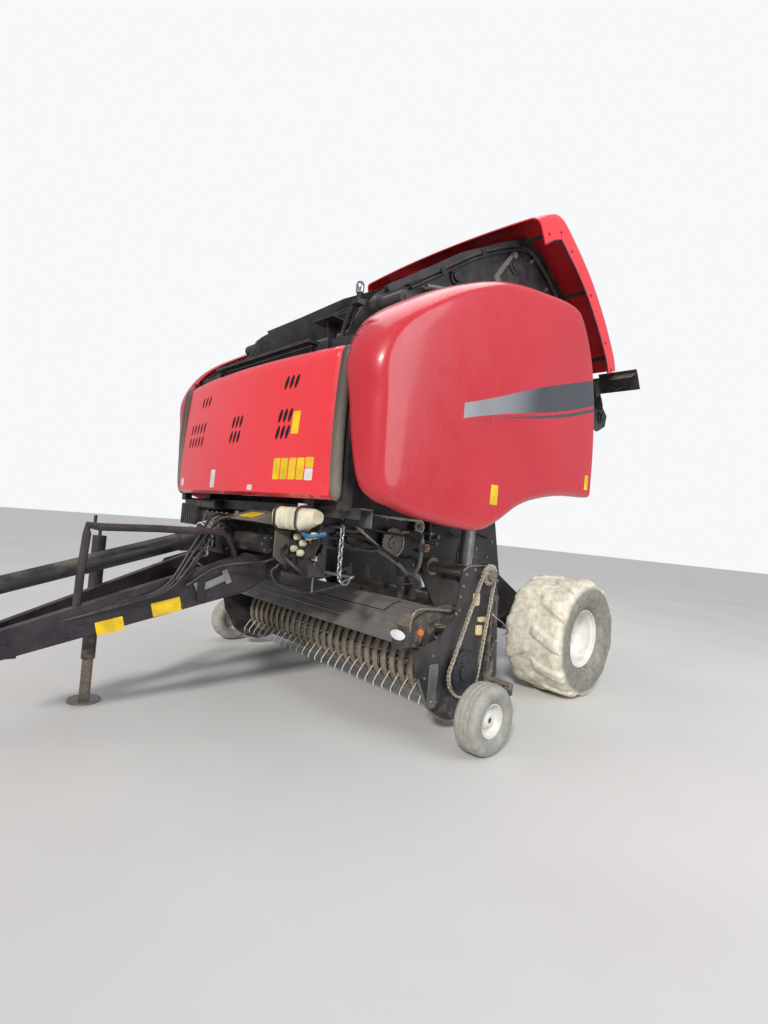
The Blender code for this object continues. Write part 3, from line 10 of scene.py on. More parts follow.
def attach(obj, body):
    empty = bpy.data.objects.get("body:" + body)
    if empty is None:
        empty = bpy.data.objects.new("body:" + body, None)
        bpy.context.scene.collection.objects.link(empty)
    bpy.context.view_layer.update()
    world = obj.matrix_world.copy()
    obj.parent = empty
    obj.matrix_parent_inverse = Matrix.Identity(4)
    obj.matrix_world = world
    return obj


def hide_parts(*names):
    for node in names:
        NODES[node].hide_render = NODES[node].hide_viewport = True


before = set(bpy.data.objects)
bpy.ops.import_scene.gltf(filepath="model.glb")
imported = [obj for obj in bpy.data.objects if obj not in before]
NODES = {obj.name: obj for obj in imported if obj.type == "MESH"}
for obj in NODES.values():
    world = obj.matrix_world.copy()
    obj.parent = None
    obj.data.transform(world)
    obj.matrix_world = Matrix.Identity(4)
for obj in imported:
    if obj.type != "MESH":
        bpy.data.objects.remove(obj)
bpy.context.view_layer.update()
MID = 1.272  # from the main axle to the middle of the footprint
OUT, FRONT, UP = (1.0, 0.0, 0.0), (0.0, -1.0, 0.0), (0.0, 0.0, 1.0)
random.seed(7)


# Node helpers

class Look:
    """A material with short calls for its nodes."""

    def __init__(self, name):
        self.mat = bpy.data.materials.new(name)
        self.mat.use_nodes = True
        self.tree = self.mat.node_tree
        self.tree.nodes.clear()
        out = self.new("OutputMaterial")
        self.bsdf = self.new("BsdfPrincipled")
        self.put(self.bsdf.outputs[0], out.inputs[0])
        self.coords = self.new("TexCoord").outputs["Object"]
        self.normal = self.new("NewGeometry").outputs["Normal"]

    def put(self, value, socket):
        if hasattr(value, "is_output"):
            self.tree.links.new(value, socket)
        elif isinstance(value, (tuple, list)) and len(value) == 3 and socket.type == "RGBA":
            socket.default_value = (*value, 1.0)
        else:
            socket.default_value = value

    def fill(self, node, values):
        for key, value in values.items():
            self.put(value, node.inputs[key.replace("_", " ")])

    def new(self, kind, **values):
        node = self.tree.nodes.new("ShaderNode" + kind)
        self.fill(node, values)
        return node

    def math(self, kind, a, b=0.0, clamp=False):
        n = self.new("Math")
        n.operation, n.use_clamp = kind, clamp
        self.put(a, n.inputs[0])
        self.put(b, n.inputs[1])
        return n.outputs[0]

    plus = partialmethod(math, "ADD")
    minus = partialmethod(math, "SUBTRACT")
    times = partialmethod(math, "MULTIPLY")
    most = partialmethod(math, "MAXIMUM")
    less = partialmethod(math, "LESS_THAN")
    more = partialmethod(math, "GREATER_THAN")

    def noise(self, scale, detail=3.0, rough=0.55, stretch=None, distortion=0.0):
        place = self.new("Mapping", Vector=self.coords, Scale=stretch).outputs[0] if stretch else self.coords
        n = self.new("TexNoise", Scale=scale, Detail=detail, Roughness=rough, Distortion=distortion, Vector=place)
        return n.outputs["Fac"]

    def cells(self, scale):
        return self.new("TexVoronoi", Scale=scale, Vector=self.coords).outputs["Distance"]

    def step(self, value, low, high, a=0.0, b=1.0):
        n = self.new("MapRange", Value=value, From_Min=low, From_Max=high, To_Min=a, To_Max=b)
        n.interpolation_type = "SMOOTHSTEP"
        return n.outputs[0]

    def mix(self, factor, a, b):
        n = self.new("Mix")
        n.data_type = "RGBA"
        self.put(factor, n.inputs[0])
        self.put(a, n.inputs[6])
        self.put(b, n.inputs[7])
        return n.outputs[2]

    def axis(self, index, vector=None):
        n = self.new("SeparateXYZ")
        self.put(vector or self.coords, n.inputs[0])
        return n.outputs[index]

    def bump(self, height, strength=0.3, distance=0.002):
        n = self.new("Bump", Strength=strength, Distance=distance, Height=height)
        self.put(n.outputs[0], self.bsdf.inputs["Normal"])

    def set(self, **values):
        self.fill(self.bsdf, values)
        return self.mat


def linear(r, g, b):
    """sRGB 0 to 255 to linear."""
    out = []
    for v in (r, g, b):
        v /= 255.0
        out.append(v / 12.92 if v <= 0.04045 else ((v + 0.055) / 1.055) ** 2.4)
    return tuple(out)


DUST = linear(158, 142, 124)


def dusty(m, colour, amount, scale=3.0, low_z=0.0, high_z=0.0):
    """Dust that lies on what looks up, in patches, with more of it low down."""
    patch = m.step(m.noise(scale, 5.0, 0.62), 0.38, 0.68)
    fine = m.step(m.noise(scale * 22.0, 3.0, 0.7), 0.3, 0.75)
    facing_up = m.step(m.axis(2, m.normal), 0.0, 0.95)
    lie = m.plus(m.times(facing_up, 0.75), 0.25)
    factor = m.times(m.times(patch, lie), m.plus(m.times(fine, 0.5), 0.5))
    factor = m.times(factor, amount, True)
    if high_z > low_z:
        below = m.step(m.axis(2), low_z, high_z, 1.0, 0.0)
        splash = m.times(below, m.step(m.noise(14.0, 4.0, 0.7), 0.45, 0.62))
        factor = m.most(factor, m.times(splash, 0.65))
    return m.mix(factor, colour, DUST), factor


STRIPE_FRONT, STRIPE_REAR = -0.36, 1.235


def red_paint(name, low_tone, high_tone, stripe=False):
    m = Look(name)
    base = m.mix(m.step(m.noise(0.9, 2.0), 0.3, 0.7), linear(*low_tone), linear(*high_tone))
    if stripe:
        base = side_stripe(m, base)
    colour, factor = dusty(m, base, 0.12, 1.6)
    low = m.step(m.axis(2), 1.3, 1.62, 1.0, 0.0)
    specks = m.times(m.step(m.noise(46.0, 4.0, 0.75), 0.62, 0.72), m.plus(m.times(low, 0.6), 0.15))
    colour = m.mix(specks, colour, linear(150, 120, 104))
    streak = m.step(m.noise(9.0, 4.0, 0.6, (3.0, 3.0, 0.35)), 0.56, 0.8)
    colour = m.mix(m.times(streak, 0.1), colour, linear(224, 120, 118))
    rough = m.plus(m.times(factor, 0.45), m.step(m.noise(6.0, 4.0), 0.3, 0.7, 0.24, 0.36))
    m.bump(m.plus(m.times(m.noise(420.0, 1.0), 0.25), m.noise(3.2, 1.0)), 0.1, 0.004)
    return m.set(Base_Color=colour, Roughness=rough, Coat_Weight=0.55, Coat_Roughness=0.09, Specular_IOR_Level=0.5)


def side_stripe(m, base):
    """Silver stripe that widens and darkens to the rear, with a thin line under it."""
    y = m.axis(1)
    line = m.minus(m.axis(2), m.times(y, 0.305))

    def between(high, low, front):
        inside = m.times(m.less(line, high), m.more(line, low))
        return m.times(m.times(inside, m.more(y, front)), m.less(y, STRIPE_REAR))

    upper = m.step(y, STRIPE_FRONT, 0.6, 2.012, 2.05)
    lower = m.step(y, STRIPE_FRONT, 0.9, 1.925, 1.855)
    inside = between(upper, lower, STRIPE_FRONT - 0.005)
    thin = between(m.minus(lower, 0.02), m.minus(lower, m.step(y, -0.1, 0.9, 0.03, 0.046)), -0.28)
    silver = m.mix(m.step(y, STRIPE_FRONT, -0.2), linear(176, 176, 178), linear(150, 152, 156))
    shade = m.mix(m.step(y, -0.1, 0.42), silver, linear(62, 64, 70))
    dots = m.times(m.step(m.cells(160.0), 0.1, 0.5), m.step(y, 0.05, 0.45, 0.5, 0.0))
    shade = m.mix(dots, shade, linear(120, 122, 128))
    base = m.mix(inside, base, shade)
    return m.mix(thin, base, m.mix(m.step(y, -0.28, 0.5), linear(150, 60, 64), linear(66, 66, 72)))


def dark_paint(name, tone=(34, 34, 37), dust=0.75, rough=0.42, low=0.0, high=1.1, scale=3.4):
    m = Look(name)
    base = m.mix(m.step(m.noise(7.0, 4.0), 0.3, 0.7), linear(*tone), linear(*[min(255, c + 14) for c in tone]))
    chips = m.step(m.noise(60.0, 5.0, 0.75), 0.66, 0.7)
    base = m.mix(m.times(chips, 0.55), base, linear(110, 84, 66))
    colour, factor = dusty(m, base, dust, scale, low, high)
    roughness = m.plus(m.times(factor, 0.4), m.step(m.noise(18.0, 3.0), 0.3, 0.7, rough - 0.08, rough + 0.08))
    m.bump(m.plus(m.noise(120.0, 3.0), m.times(factor, 0.8)), 0.22, 0.0015)
    return m.set(Base_Color=colour, Roughness=roughness, Specular_IOR_Level=0.5)


def worn_steel(name, tone=(128, 120, 110), rust=0.35, rough=0.4, metal=0.85):
    m = Look(name)
    brush = m.noise(40.0, 4.0, 0.6, (0.3, 2.0, 2.0))
    base = m.mix(m.step(brush, 0.3, 0.7), linear(*tone), linear(*[min(255, c + 34) for c in tone]))
    patch = m.step(m.noise(9.0, 6.0, 0.7), 0.48, 0.66)
    base = m.mix(m.times(patch, rust), base, linear(112, 70, 44))
    colour, factor = dusty(m, base, 0.45, 5.0, 0.0, 0.5)
    metallic = m.times(m.minus(1.0, m.most(factor, m.times(patch, rust)), True), metal)
    m.bump(m.plus(brush, patch), 0.18, 0.001)
    roughness = m.step(m.noise(12.0, 4.0), 0.3, 0.7, rough - 0.1, rough + 0.16)
    return m.set(Base_Color=colour, Metallic=metallic, Roughness=roughness)


def rim_paint(name):
    m = Look(name)
    base = m.mix(m.step(m.noise(5.0, 3.0), 0.3, 0.7), linear(224, 224, 220), linear(206, 204, 198))
    dirt = m.times(m.step(m.noise(7.0, 6.0, 0.7), 0.46, 0.66), 0.42)
    base = m.mix(dirt, base, linear(176, 162, 140))
    rust = m.step(m.noise(52.0, 5.0, 0.8), 0.7, 0.74)
    base = m.mix(m.times(rust, 0.7), base, linear(120, 70, 44))
    m.bump(m.noise(90.0, 3.0), 0.12, 0.001)
    return m.set(Base_Color=base, Roughness=m.step(m.noise(9.0), 0.3, 0.7, 0.34, 0.55))


def tyre_look(name, mud, tone=(62, 62, 60), scale=9.0, middle=(1.034, 1.272, 0.45), reach=(0.36, 0.42), side_dust=0.34):
    """Rubber with dried mud that is thick on the tread and thin on the side."""
    m = Look(name)
    base = m.mix(m.step(m.noise(14.0, 4.0), 0.3, 0.7), linear(*tone), linear(*[c + 20 for c in tone]))
    dy = m.minus(m.axis(1), middle[1])
    dz = m.minus(m.axis(2), middle[2])
    radius = m.math("SQRT", m.plus(m.times(dy, dy), m.times(dz, dz)))
    outer = m.step(radius, reach[0], reach[1])
    cake = m.step(m.noise(scale, 6.0, 0.68, None, 0.4), 0.16, 0.4)
    film = m.step(m.noise(scale * 2.4, 5.0, 0.7), 0.25, 0.75, side_dust * 0.5, side_dust)
    factor = m.times(m.most(m.times(cake, outer), film), mud, True)
    clay = m.mix(m.step(m.noise(22.0, 5.0, 0.65), 0.3, 0.7), linear(236, 230, 214), linear(198, 190, 172))
    pits = m.step(m.noise(58.0, 4.0, 0.7), 0.62, 0.72)
    clay = m.mix(m.times(pits, 0.6), clay, linear(120, 112, 98))
    colour = m.mix(factor, base, clay)
    crumbs = m.plus(m.noise(70.0, 5.0, 0.7), m.times(factor, 0.8))
    m.bump(crumbs, 0.6, 0.005)
    return m.set(Base_Color=colour, Roughness=m.step(factor, 0.0, 1.0, 0.62, 0.95), Specular_IOR_Level=0.35)


def seal_look(name):
    """Rubber that dust has turned paler at its lower half."""
    m = Look(name)
    base = m.mix(m.step(m.axis(2), 1.35, 1.95, 1.0, 0.0), linear(74, 68, 62), linear(122, 114, 102))
    grime = m.step(m.noise(12.0, 5.0, 0.7, (1.0, 1.0, 0.3)), 0.42, 0.66)
    base = m.mix(m.times(grime, 0.45), base, linear(84, 76, 70))
    m.bump(m.noise(60.0, 4.0), 0.2, 0.0015)
    return m.set(Base_Color=base, Roughness=m.step(grime, 0.0, 1.0, 0.5, 0.7))


def plain(name, tone, rough=0.5, metal=0.0, wear=0.25, dust=0.3, coat=0.0, scale=5.0):
    m = Look(name)
    base = m.mix(m.step(m.noise(11.0, 4.0), 0.3, 0.7), linear(*tone), linear(*[max(0, int(c * 0.86)) for c in tone]))
    scuffs = m.step(m.noise(38.0, 5.0, 0.7, (1.0, 1.0, 0.4)), 0.6, 0.68)
    base = m.mix(m.times(scuffs, wear), base, linear(*[int(c * 0.6 + 40) for c in tone]))
    colour, factor = dusty(m, base, dust, scale)
    m.bump(m.noise(150.0, 3.0), 0.15, 0.001)
    return m.set(Base_Color=colour, Metallic=metal, Coat_Weight=coat,
                 Roughness=m.plus(m.times(factor, 0.3), m.step(m.noise(20.0), 0.3, 0.7, rough - 0.06, rough + 0.1)))


# Panel and hood red: the machine's one red paint made brighter than the shield's, painted light where the panel faces
# away from the lamps.
RED = red_paint("red_paint_dusty_brightened", (234, 46, 56), (242, 54, 64))
# Shield red: the same red paint made darker, painted shade on the shield's side.
RED_STRIPED_DARKENED = red_paint("red_paint_with_stripe_darkened", (190, 32, 46), (200, 38, 52), True)
BLACK = dark_paint("black_paint_dusty", (36, 34, 38), 0.55, 0.4, 0.0, 0.9, 5.0)
DRAWBAR = dark_paint("drawbar_paint", (38, 30, 38), 0.26, 0.38, 0.0, 0.45, 7.0)
# Near black for the sheets in the panel's slots: painted shade, not a real insert.
SLOT_SHADE = plain("slot_painted_shade", (14, 13, 14), 0.6, 0.0, 0.2, 0.0)
PLATE = dark_paint("pickup_paint", (38, 36, 40), 0.45, 0.42, 0.0, 0.34, 9.0)
DISC = dark_paint("disc_paint", (24, 26, 34), 0.22, 0.35, 0.0, 0.0, 9.0)
BLACK_LOW = dark_paint("black_paint_dirty", (40, 39, 40), 0.95, 0.5, 0.0, 1.3)
BAND_GREY = dark_paint("cross_plate_grey", (92, 88, 82), 0.55, 0.5, 0.0, 0.0, 6.0)
STEEL = worn_steel("worn_steel")
BAND_STEEL = worn_steel("band_steel", (138, 128, 114), 0.42, 0.4, 0.45)
TINE_STEEL = worn_steel("tine_steel", (236, 232, 224), 0.05, 0.34, 0.25)
CHAIN_STEEL = worn_steel("chain_steel", (176, 168, 152), 0.3, 0.36, 0.6)
CHROME = plain("rod_chrome", (206, 208, 212), 0.12, 1.0, 0.05, 0.15)
WHITE = rim_paint("rim_white")
TYRE = tyre_look("tyre_muddy", 1.0)
GAUGE_TYRE = tyre_look("gauge_tyre_grey", 0.3, (112, 114, 112), 16.0, (1.43, -0.228, 0.193), (0.1, 0.19), 0.8)
BELT = plain("belt_rubber", (44, 43, 42), 0.72, 0.0, 0.4, 0.25)
STRIP = seal_look("seal_rubber")
CREAM = plain("tank_plastic", (240, 232, 204), 0.42, 0.0, 0.3, 0.3)
GUARD = plain("guard_plastic", (38, 38, 41), 0.38, 0.0, 0.3, 0.5)
HOSE = plain("hose_rubber", (30, 30, 32), 0.42, 0.0, 0.2, 0.4)
HOSE_GREY = plain("hose_wrap_grey", (142, 138, 132), 0.5, 0.0, 0.3, 0.3)
YELLOW = plain("label_yellow", (246, 206, 30), 0.4, 0.0, 0.15, 0.15)
WHITE_LABEL = plain("label_white", (232, 232, 228), 0.4, 0.0, 0.15, 0.15)
ORANGE = plain("lamp_amber", (226, 116, 26), 0.2, 0.0, 0.1, 0.2, 0.6)
REFLECTOR = plain("reflector_white", (236, 238, 240), 0.15, 0.0, 0.05, 0.15, 0.8)
TIN = plain("tin_plate", (158, 160, 160), 0.36, 0.75, 0.3, 0.35)
BLUE = plain("hose_blue", (28, 106, 150), 0.4, 0.0, 0.2, 0.3)
GUARD_STEEL = dark_paint("guard_sheet_grey", (96, 92, 90), 0.38, 0.42, 0.0, 0.0, 8.0)
LENS_RED = plain("lamp_red", (176, 22, 24), 0.2, 0.0, 0.1, 0.2, 0.6)
PALE = plain("pale_plastic", (222, 206, 150), 0.45, 0.0, 0.3, 0.3)

NODE_LOOKS = {
    "main_tyre": TYRE, "gauge_tyre": GAUGE_TYRE, "main_rim": WHITE, "gauge_rim": WHITE, "hood": RED,
    "rear_cover": RED, "shield": RED_STRIPED_DARKENED, "front_panel": RED, "cylinder_rod": CHROME,
    "front_belts": BELT, "tailgate_belts": BELT, "seal_strip": STRIP, "tank": CREAM,
    "drive_line_rear": GUARD, "drive_line_front": GUARD, "drawbar": DRAWBAR, "reel": STEEL, "pickup_cross": BAND_STEEL,
    "rotor": STEEL, "chain_drive": CHAIN_STEEL, "pickup_shaft": STEEL, "foot_pin": STEEL, "jack_leg": STEEL,
    "tailgate_cross": BAND_GREY, "pickup_plate": PLATE, "gauge_arm": BLACK_LOW, "axle_beam": BLACK_LOW,
    "wind_guard": BLACK_LOW,
}


def soften(obj, width, segments, angle):
    soft = obj.modifiers.new("edges", "BEVEL")
    soft.width, soft.segments = width, segments
    soft.limit_method, soft.angle_limit = "ANGLE", radians(angle)


def stem(node):
    for suffix in ("_left", "_right"):
        if node.endswith(suffix):
            return node[:-len(suffix)]
    return node


for node_name, node_object in NODES.items():
    look = NODE_LOOKS.get(stem(node_name), BLACK)
    node_object.data.materials.clear()
    node_object.data.materials.append(look)
    if node_name == "rear_cover":
        soften(node_object, 0.03, 5, 8.0)
    else:
        soften(node_object, 0.0025, 2, 38.0)


# Camera, light and floor

def make_camera():
    yaw, pitch, roll = 0.8201, 0.0191, 0.0874
    ahead = Vector((-sin(yaw) * cos(pitch), cos(yaw) * cos(pitch), sin(pitch)))
    right = ahead.cross(Vector((0.0, 0.0, 1.0))).normalized()
    up = right.cross(ahead)
    right_rolled = right * cos(roll) + up * sin(roll)
    up_rolled = up * cos(roll) - right * sin(roll)
    data = bpy.data.cameras.new("camera")
    data.sensor_width = 36.0
    data.lens = 18.78
    data.clip_end = 200.0
    camera = bpy.data.objects.new("camera", data)
    bpy.context.scene.collection.objects.link(camera)
    turn = Matrix((right_rolled, up_rolled, -ahead)).transposed().to_4x4()
    camera.matrix_world = Matrix.Translation((3.1207, -2.6717, 1.1997)) @ turn
    bpy.context.scene.camera = camera


def add_lamp(name, kind, place, target, energy, size=1.0, colour=(1.0, 1.0, 1.0), angle=0.1):
    data = bpy.data.lights.new(name, kind)
    data.energy = energy
    data.color = colour
    if kind == "AREA":
        data.size = size
    if kind == "SUN":
        data.angle = angle
    lamp = bpy.data.objects.new(name, data)
    lamp.location = place
    lamp.rotation_euler = (Vector(target) - Vector(place)).to_track_quat("-Z", "Y").to_euler()
    bpy.context.scene.collection.objects.link(lamp)


def make_stage():
    scene = bpy.context.scene
    scene.view_settings.view_transform = "Standard"
    world = bpy.data.worlds.new("studio")
    scene.world = world
    world.use_nodes = True
    tree = world.node_tree
    tree.nodes.clear()
    out = tree.nodes.new("ShaderNodeOutputWorld")
    dim = tree.nodes.new("ShaderNodeBackground")
    dim.inputs[0].default_value = (0.86, 0.91, 1.0, 1.0)
    dim.inputs[1].default_value = 0.42
    bright = tree.nodes.new("ShaderNodeBackground")
    bright.inputs[0].default_value = (0.93, 0.94, 0.95, 1.0)
    bright.inputs[1].default_value = 1.0
    path = tree.nodes.new("ShaderNodeLightPath")
    seen = tree.nodes.new("ShaderNodeMath")
    seen.operation = "MAXIMUM"
    tree.links.new(path.outputs["Is Camera Ray"], seen.inputs[0])
    tree.links.new(path.outputs["Is Transmission Ray"], seen.inputs[1])
    mixer = tree.nodes.new("ShaderNodeMixShader")
    tree.links.new(seen.outputs[0], mixer.inputs[0])
    tree.links.new(dim.outputs[0], mixer.inputs[1])
    tree.links.new(bright.outputs[0], mixer.inputs[2])
    tree.links.new(mixer.outputs[0], out.inputs[0])
    mesh = bpy.data.meshes.new("floor")
    r = 40.0
    mesh.from_pydata([(-r, -r, 0.0), (r, -r, 0.0), (r, r, 0.0), (-r, r, 0.0)], [], [(0, 1, 2, 3)])
    floor = bpy.data.objects.new("floor", mesh)
    scene.collection.objects.link(floor)
    m = Look("floor_pale")
    tone = m.mix(m.step(m.noise(0.7, 4.0), 0.3, 0.7), (0.62, 0.61, 0.59), (0.66, 0.65, 0.63))
    mesh.materials.append(m.set(Base_Color=tone, Roughness=0.85))
    add_lamp("key", "SUN", (3.6, -6.0, 5.2), (0.0, 0.0, 1.0), 2.6, angle=0.14, colour=(1.0, 0.97, 0.92))
    add_lamp("fill", "AREA", (5.5, 1.0, 3.4), (0.0, 0.2, 1.4), 130.0, 4.0, (0.9, 0.95, 1.0))
    add_lamp("top", "AREA", (-1.0, 1.0, 8.0), (0.0, 0.3, 1.4), 160.0, 6.0)


make_camera()
make_stage()

# Shapes: places are measured from the main axle and moved by MID when a piece is made

PIVOT = (-1.85, 2.5)
OPEN = radians(33.0)
TRACK_X, TYRE_R, TYRE_HALF, RIM_R = 1.034, 0.45, 0.245, 0.222
GAUGE_AT, GAUGE_HALF, GAUGE_RIM_R = (1.43, -1.5, 0.193), 0.0775, 0.094
REEL = (-1.367, 0.351)
PICKUP = (-1.188, 0.929)
CHAIN_X = 1.172
TINES, TINE_PITCH = 27, 0.0795
SHIELD_X, SHIELD_T = 1.22, 0.01
HINGE_X, HINGE_Z, KNUCKLES = 1.0, 2.7, (-1.15, -0.65)
PLATE_X, PLATE_FACE = 1.13, 1.1405
FRAME_FACE, GATE_FACE, WALL = -2.2203, 0.672, 0.6315
GUARD_HALF, HOOD_HALF, SEAL_AT, SHIELD_MIDDLE = 1.085, 0.96, (0.966, -0.044), (-1.15, 1.98)
REEL_BAR_R, TINE_REACH, TINE_TURN = 0.12, 0.2885, 20.0


def turns(count):
    """Even angles of a full turn."""
    return [tau * i / count for i in range(count)]


def circle(radius, sides, middle=(0.0, 0.0), start=0.0):
    return [(middle[0] + radius * cos(start + t), middle[1] + radius * sin(start + t)) for t in turns(sides)]


def ellipse(wide, high, sides):
    return [(wide * cos(t), high * sin(t)) for t in turns(sides)]


def arc(middle, radius, start, end, steps):
    angles = [radians(start + (end - start) * i / steps) for i in range(steps + 1)]
    return [(middle[0] + radius * cos(t), middle[1] + radius * sin(t)) for t in angles]


def in_space(axis, along, a, b):
    return {"X": (along, a, b), "Y": (a, along, b), "Z": (a, b, along)}[axis]


def curve(points, per=6, closed=False):
    """Curve through points of any size."""
    n = len(points)
    out = []
    for i in range(n if closed else n - 1):
        if closed:
            four = [points[(i + k) % n] for k in (-1, 0, 1, 2)]
        else:
            four = [points[max(i - 1, 0)], points[i], points[i + 1], points[min(i + 2, n - 1)]]
        for k in range(per):
            t = k / per
            out.append(tuple(
                0.5 * (2 * b + (c - a) * t + (2 * a - 5 * b + 4 * c - d) * t * t + (3 * b - a - 3 * c + d) * t ** 3)
                for a, b, c, d in zip(*four)))
    if not closed:
        out.append(tuple(points[-1]))
    return out


def normals(path, closed=False):
    out = []
    last = len(path) - 1
    for i in range(len(path)):
        a = path[i - 1] if i or closed else path[0]
        b = path[(i + 1) % len(path)] if i < last or closed else path[last]
        run = Vector((b[0] - a[0], b[1] - a[1])).normalized()
        out.append((-run[1], run[0]))
    return out


def strip(path, thickness):
    other = [(p[0] + n[0] * thickness, p[1] + n[1] * thickness) for p, n in zip(path, normals(path))]
    return list(path) + other[::-1]


def rounded(width, height, radius, steps=4):
    """Outline of a rectangle with round corners."""
    a, b = width / 2.0 - radius, height / 2.0 - radius
    out = []
    for k, (x, y) in enumerate(((a, b), (-a, b), (-a, -b), (a, -b))):
        out += arc((x, y), radius, 90.0 * k, 90.0 * (k + 1), steps)
    return out


def lift_point(p):
    a, b = p[1] - PIVOT[0], p[2] - PIVOT[1]
    return (p[0], PIVOT[0] + a * cos(OPEN) - b * sin(OPEN), PIVOT[1] + a * sin(OPEN) + b * cos(OPEN))


class Solid:
    """Closed surfaces gathered into one piece."""

    def __init__(self):
        self.points = []
        self.faces = []

    def add(self, points, faces):
        first = len(self.points)
        self.points += [tuple(p) for p in points]
        self.faces += [tuple(first + i for i in f) for f in faces]
        return self

    def loft(self, loops, closed=False):
        count, rows = len(loops[0]), len(loops)
        faces = []
        for row in range(rows if closed else rows - 1):
            here, there = row * count, ((row + 1) % rows) * count
            faces += [(here + i, here + (i + 1) % count, there + (i + 1) % count, there + i) for i in range(count)]
        if not closed:
            faces.append(tuple(reversed(range(count))))
            faces.append(tuple(range((rows - 1) * count, rows * count)))
        return self.add([p for loop in loops for p in loop], faces)

    def prism(self, outline, axis, low, high):
        return self.loft([[in_space(axis, s, a, b) for a, b in outline] for s in (low, high)])

    def box(self, low, high):
        (x0, y0, z0), (x1, y1, z1) = low, high
        return self.prism([(x0, y0), (x1, y0), (x1, y1), (x0, y1)], "Z", z0, z1)

    def turned(self, outline, axis, middle, sides=48):
        loops = []
        for i in range(sides):
            t = tau * i / sides
            loops.append([in_space(axis, s, middle[0] + r * cos(t), middle[1] + r * sin(t)) for r, s in outline])
        return self.loft(loops, True)

    def ring(self, axis, middle, outer, inner, low, high, sides=32):
        return self.turned([(inner, low), (outer, low), (outer, high), (inner, high)], axis, middle, sides)

    def disc(self, axis, middle, radius, low, high, sides=32, soft=0.0):
        loops = [[in_space(axis, s, *p) for p in circle(r, sides, middle)] for r, s in
                 ((radius - soft, low), (radius, low + soft), (radius, high - soft), (radius - soft, high))]
        return self.loft(loops if soft else loops[1:3])

    def along(self, points, section, closed=False):
        """Sweeps a small outline along a line of points."""
        points = [Vector(p) for p in points]
        loops, side = [], None
        last = len(points) - 1
        for i, point in enumerate(points):
            a = points[i - 1] if i or closed else points[0]
            b = points[(i + 1) % len(points)] if i < last or closed else points[last]
            ahead = (b - a).normalized()
            if side is None:
                side = ahead.cross(Vector(UP))
                side = side.normalized() if side.length > 1e-3 else Vector(OUT)
            side = (side - ahead * side.dot(ahead)).normalized()
            up = side.cross(ahead)
            outline = section(i / max(last, 1)) if callable(section) else section
            loops.append([point + side * u + up * v for u, v in outline])
        return self.loft(loops, closed)

    def pipe(self, points, radius, sides=10, per=0):
        return self.along(curve(points, per) if per else points, circle(radius, sides))

    def rod(self, start, end, radius, sides=20, end_radius=None):
        tip = radius if end_radius is None else end_radius
        return self.along([start, end], lambda t: circle(radius + (tip - radius) * t, sides))

    def pad(self, axis, middle, width, height, radius, steps, low, high):
        """Block with round corners across an axis."""
        outline = [(middle[0] + a, middle[1] + b) for a, b in rounded(width, height, radius, steps)]
        return self.prism(outline, axis, low, high)

    def spring(self, start, end, radius, coils, wire, sides, tail):
        """Coil between two points with a straight tail at each end."""
        start, end = Vector(start), Vector(end)
        run, round_it = end - start, Vector(OUT)
        ahead = run.normalized()
        side = ahead.cross(round_it).normalized()
        line = [start - ahead * tail]
        for i in range(coils * 10 + 1):
            t = tau * i / 10
            line.append(start + run * (i / (coils * 10)) + (side * cos(t) + round_it * sin(t)) * radius)
        return self.along(line + [end + ahead * tail], circle(wire, sides))

    def bolts(self, x, spots, size):
        """Bolts that face the side at places (y, z)."""
        for y, z in spots:
            self.bolt((x, y, z), OUT, size)
        return self

    def bolt(self, place, direction, size):
        """Hexagon head on a washer."""
        at, d = Vector(place), Vector(direction).normalized()
        self.rod(at - d * size * 0.3, at + d * size * 0.18, size * 1.15, 14)
        self.rod(at, at + d * size * 0.62, size * 0.95, 6)
        return self.rod(at + d * size * 0.62, at + d * size * 0.74, size * 0.95, 6, size * 0.72)

    def plate(self, centre, right, up, width, height, thick, radius=0.004, steps=3):
        """Flat plate with round corners; its back lies on the centre's plane."""
        c, u = Vector(centre), Vector(right).normalized()
        n = u.cross(Vector(up)).normalized()
        v = n.cross(u)
        outline = rounded(width, height, radius, steps)
        return self.loft([[c + u * a + v * b + n * t for a, b in outline] for t in (-0.001, thick)])

    def lift(self):
        self.points = [lift_point(p) for p in self.points]
        return self

    def mirrored(self):
        return Solid().add([(-x, y, z) for x, y, z in self.points], self.faces)


def mesh_object(solid, name):
    data = bpy.data.meshes.new(name)
    data.from_pydata([(x, y + MID, z) for x, y, z in solid.points], [], solid.faces)
    work = bmesh.new()
    work.from_mesh(data)
    bmesh.ops.recalc_face_normals(work, faces=work.faces)
    work.to_mesh(data)
    work.free()
    obj = bpy.data.objects.new(name, data)
    bpy.context.scene.collection.objects.link(obj)
    return obj


def make(solid, name, look, body, nodes=(), bevel=0.0, sharp=35.0, cutter=None):
    obj = mesh_object(solid, name)
    if cutter:
        cut_with(obj, cutter)
    obj.data.materials.clear()
    obj.data.materials.append(look)
    obj.data.shade_smooth()
    obj.data.set_sharp_from_angle(angle=radians(sharp))
    if bevel:
        soften(obj, bevel, 2, 35.0)
    if nodes:
        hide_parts(*nodes)
    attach(obj, body)


def cut_with(obj, solid):
    helper = mesh_object(solid, "cutter")
    step = obj.modifiers.new("cut", "BOOLEAN")
    step.operation, step.solver, step.object = "DIFFERENCE", "EXACT", helper
    bpy.context.view_layer.update()
    mesh = bpy.data.meshes.new_from_object(obj.evaluated_get(bpy.context.evaluated_depsgraph_get()))
    obj.modifiers.clear()
    obj.data = mesh
    bpy.data.objects.remove(helper, do_unlink=True)


def both_sides(solid, stem_name, look, bodies, nodes=(), **more):
    """Makes a left piece and its mirrored right twin."""
    for side, part in (("left", solid), ("right", solid.mirrored())):
        body, *replaced = [name.replace("*", side) for name in (bodies, *nodes)]
        make(part, f"{stem_name}_{side}", look, body, replaced, **more)


# Wheels

def hill(value, low, high):
    t = min(1.0, max(0.0, (value - low) / (high - low)))
    return t * t * (3.0 - 2.0 * t)


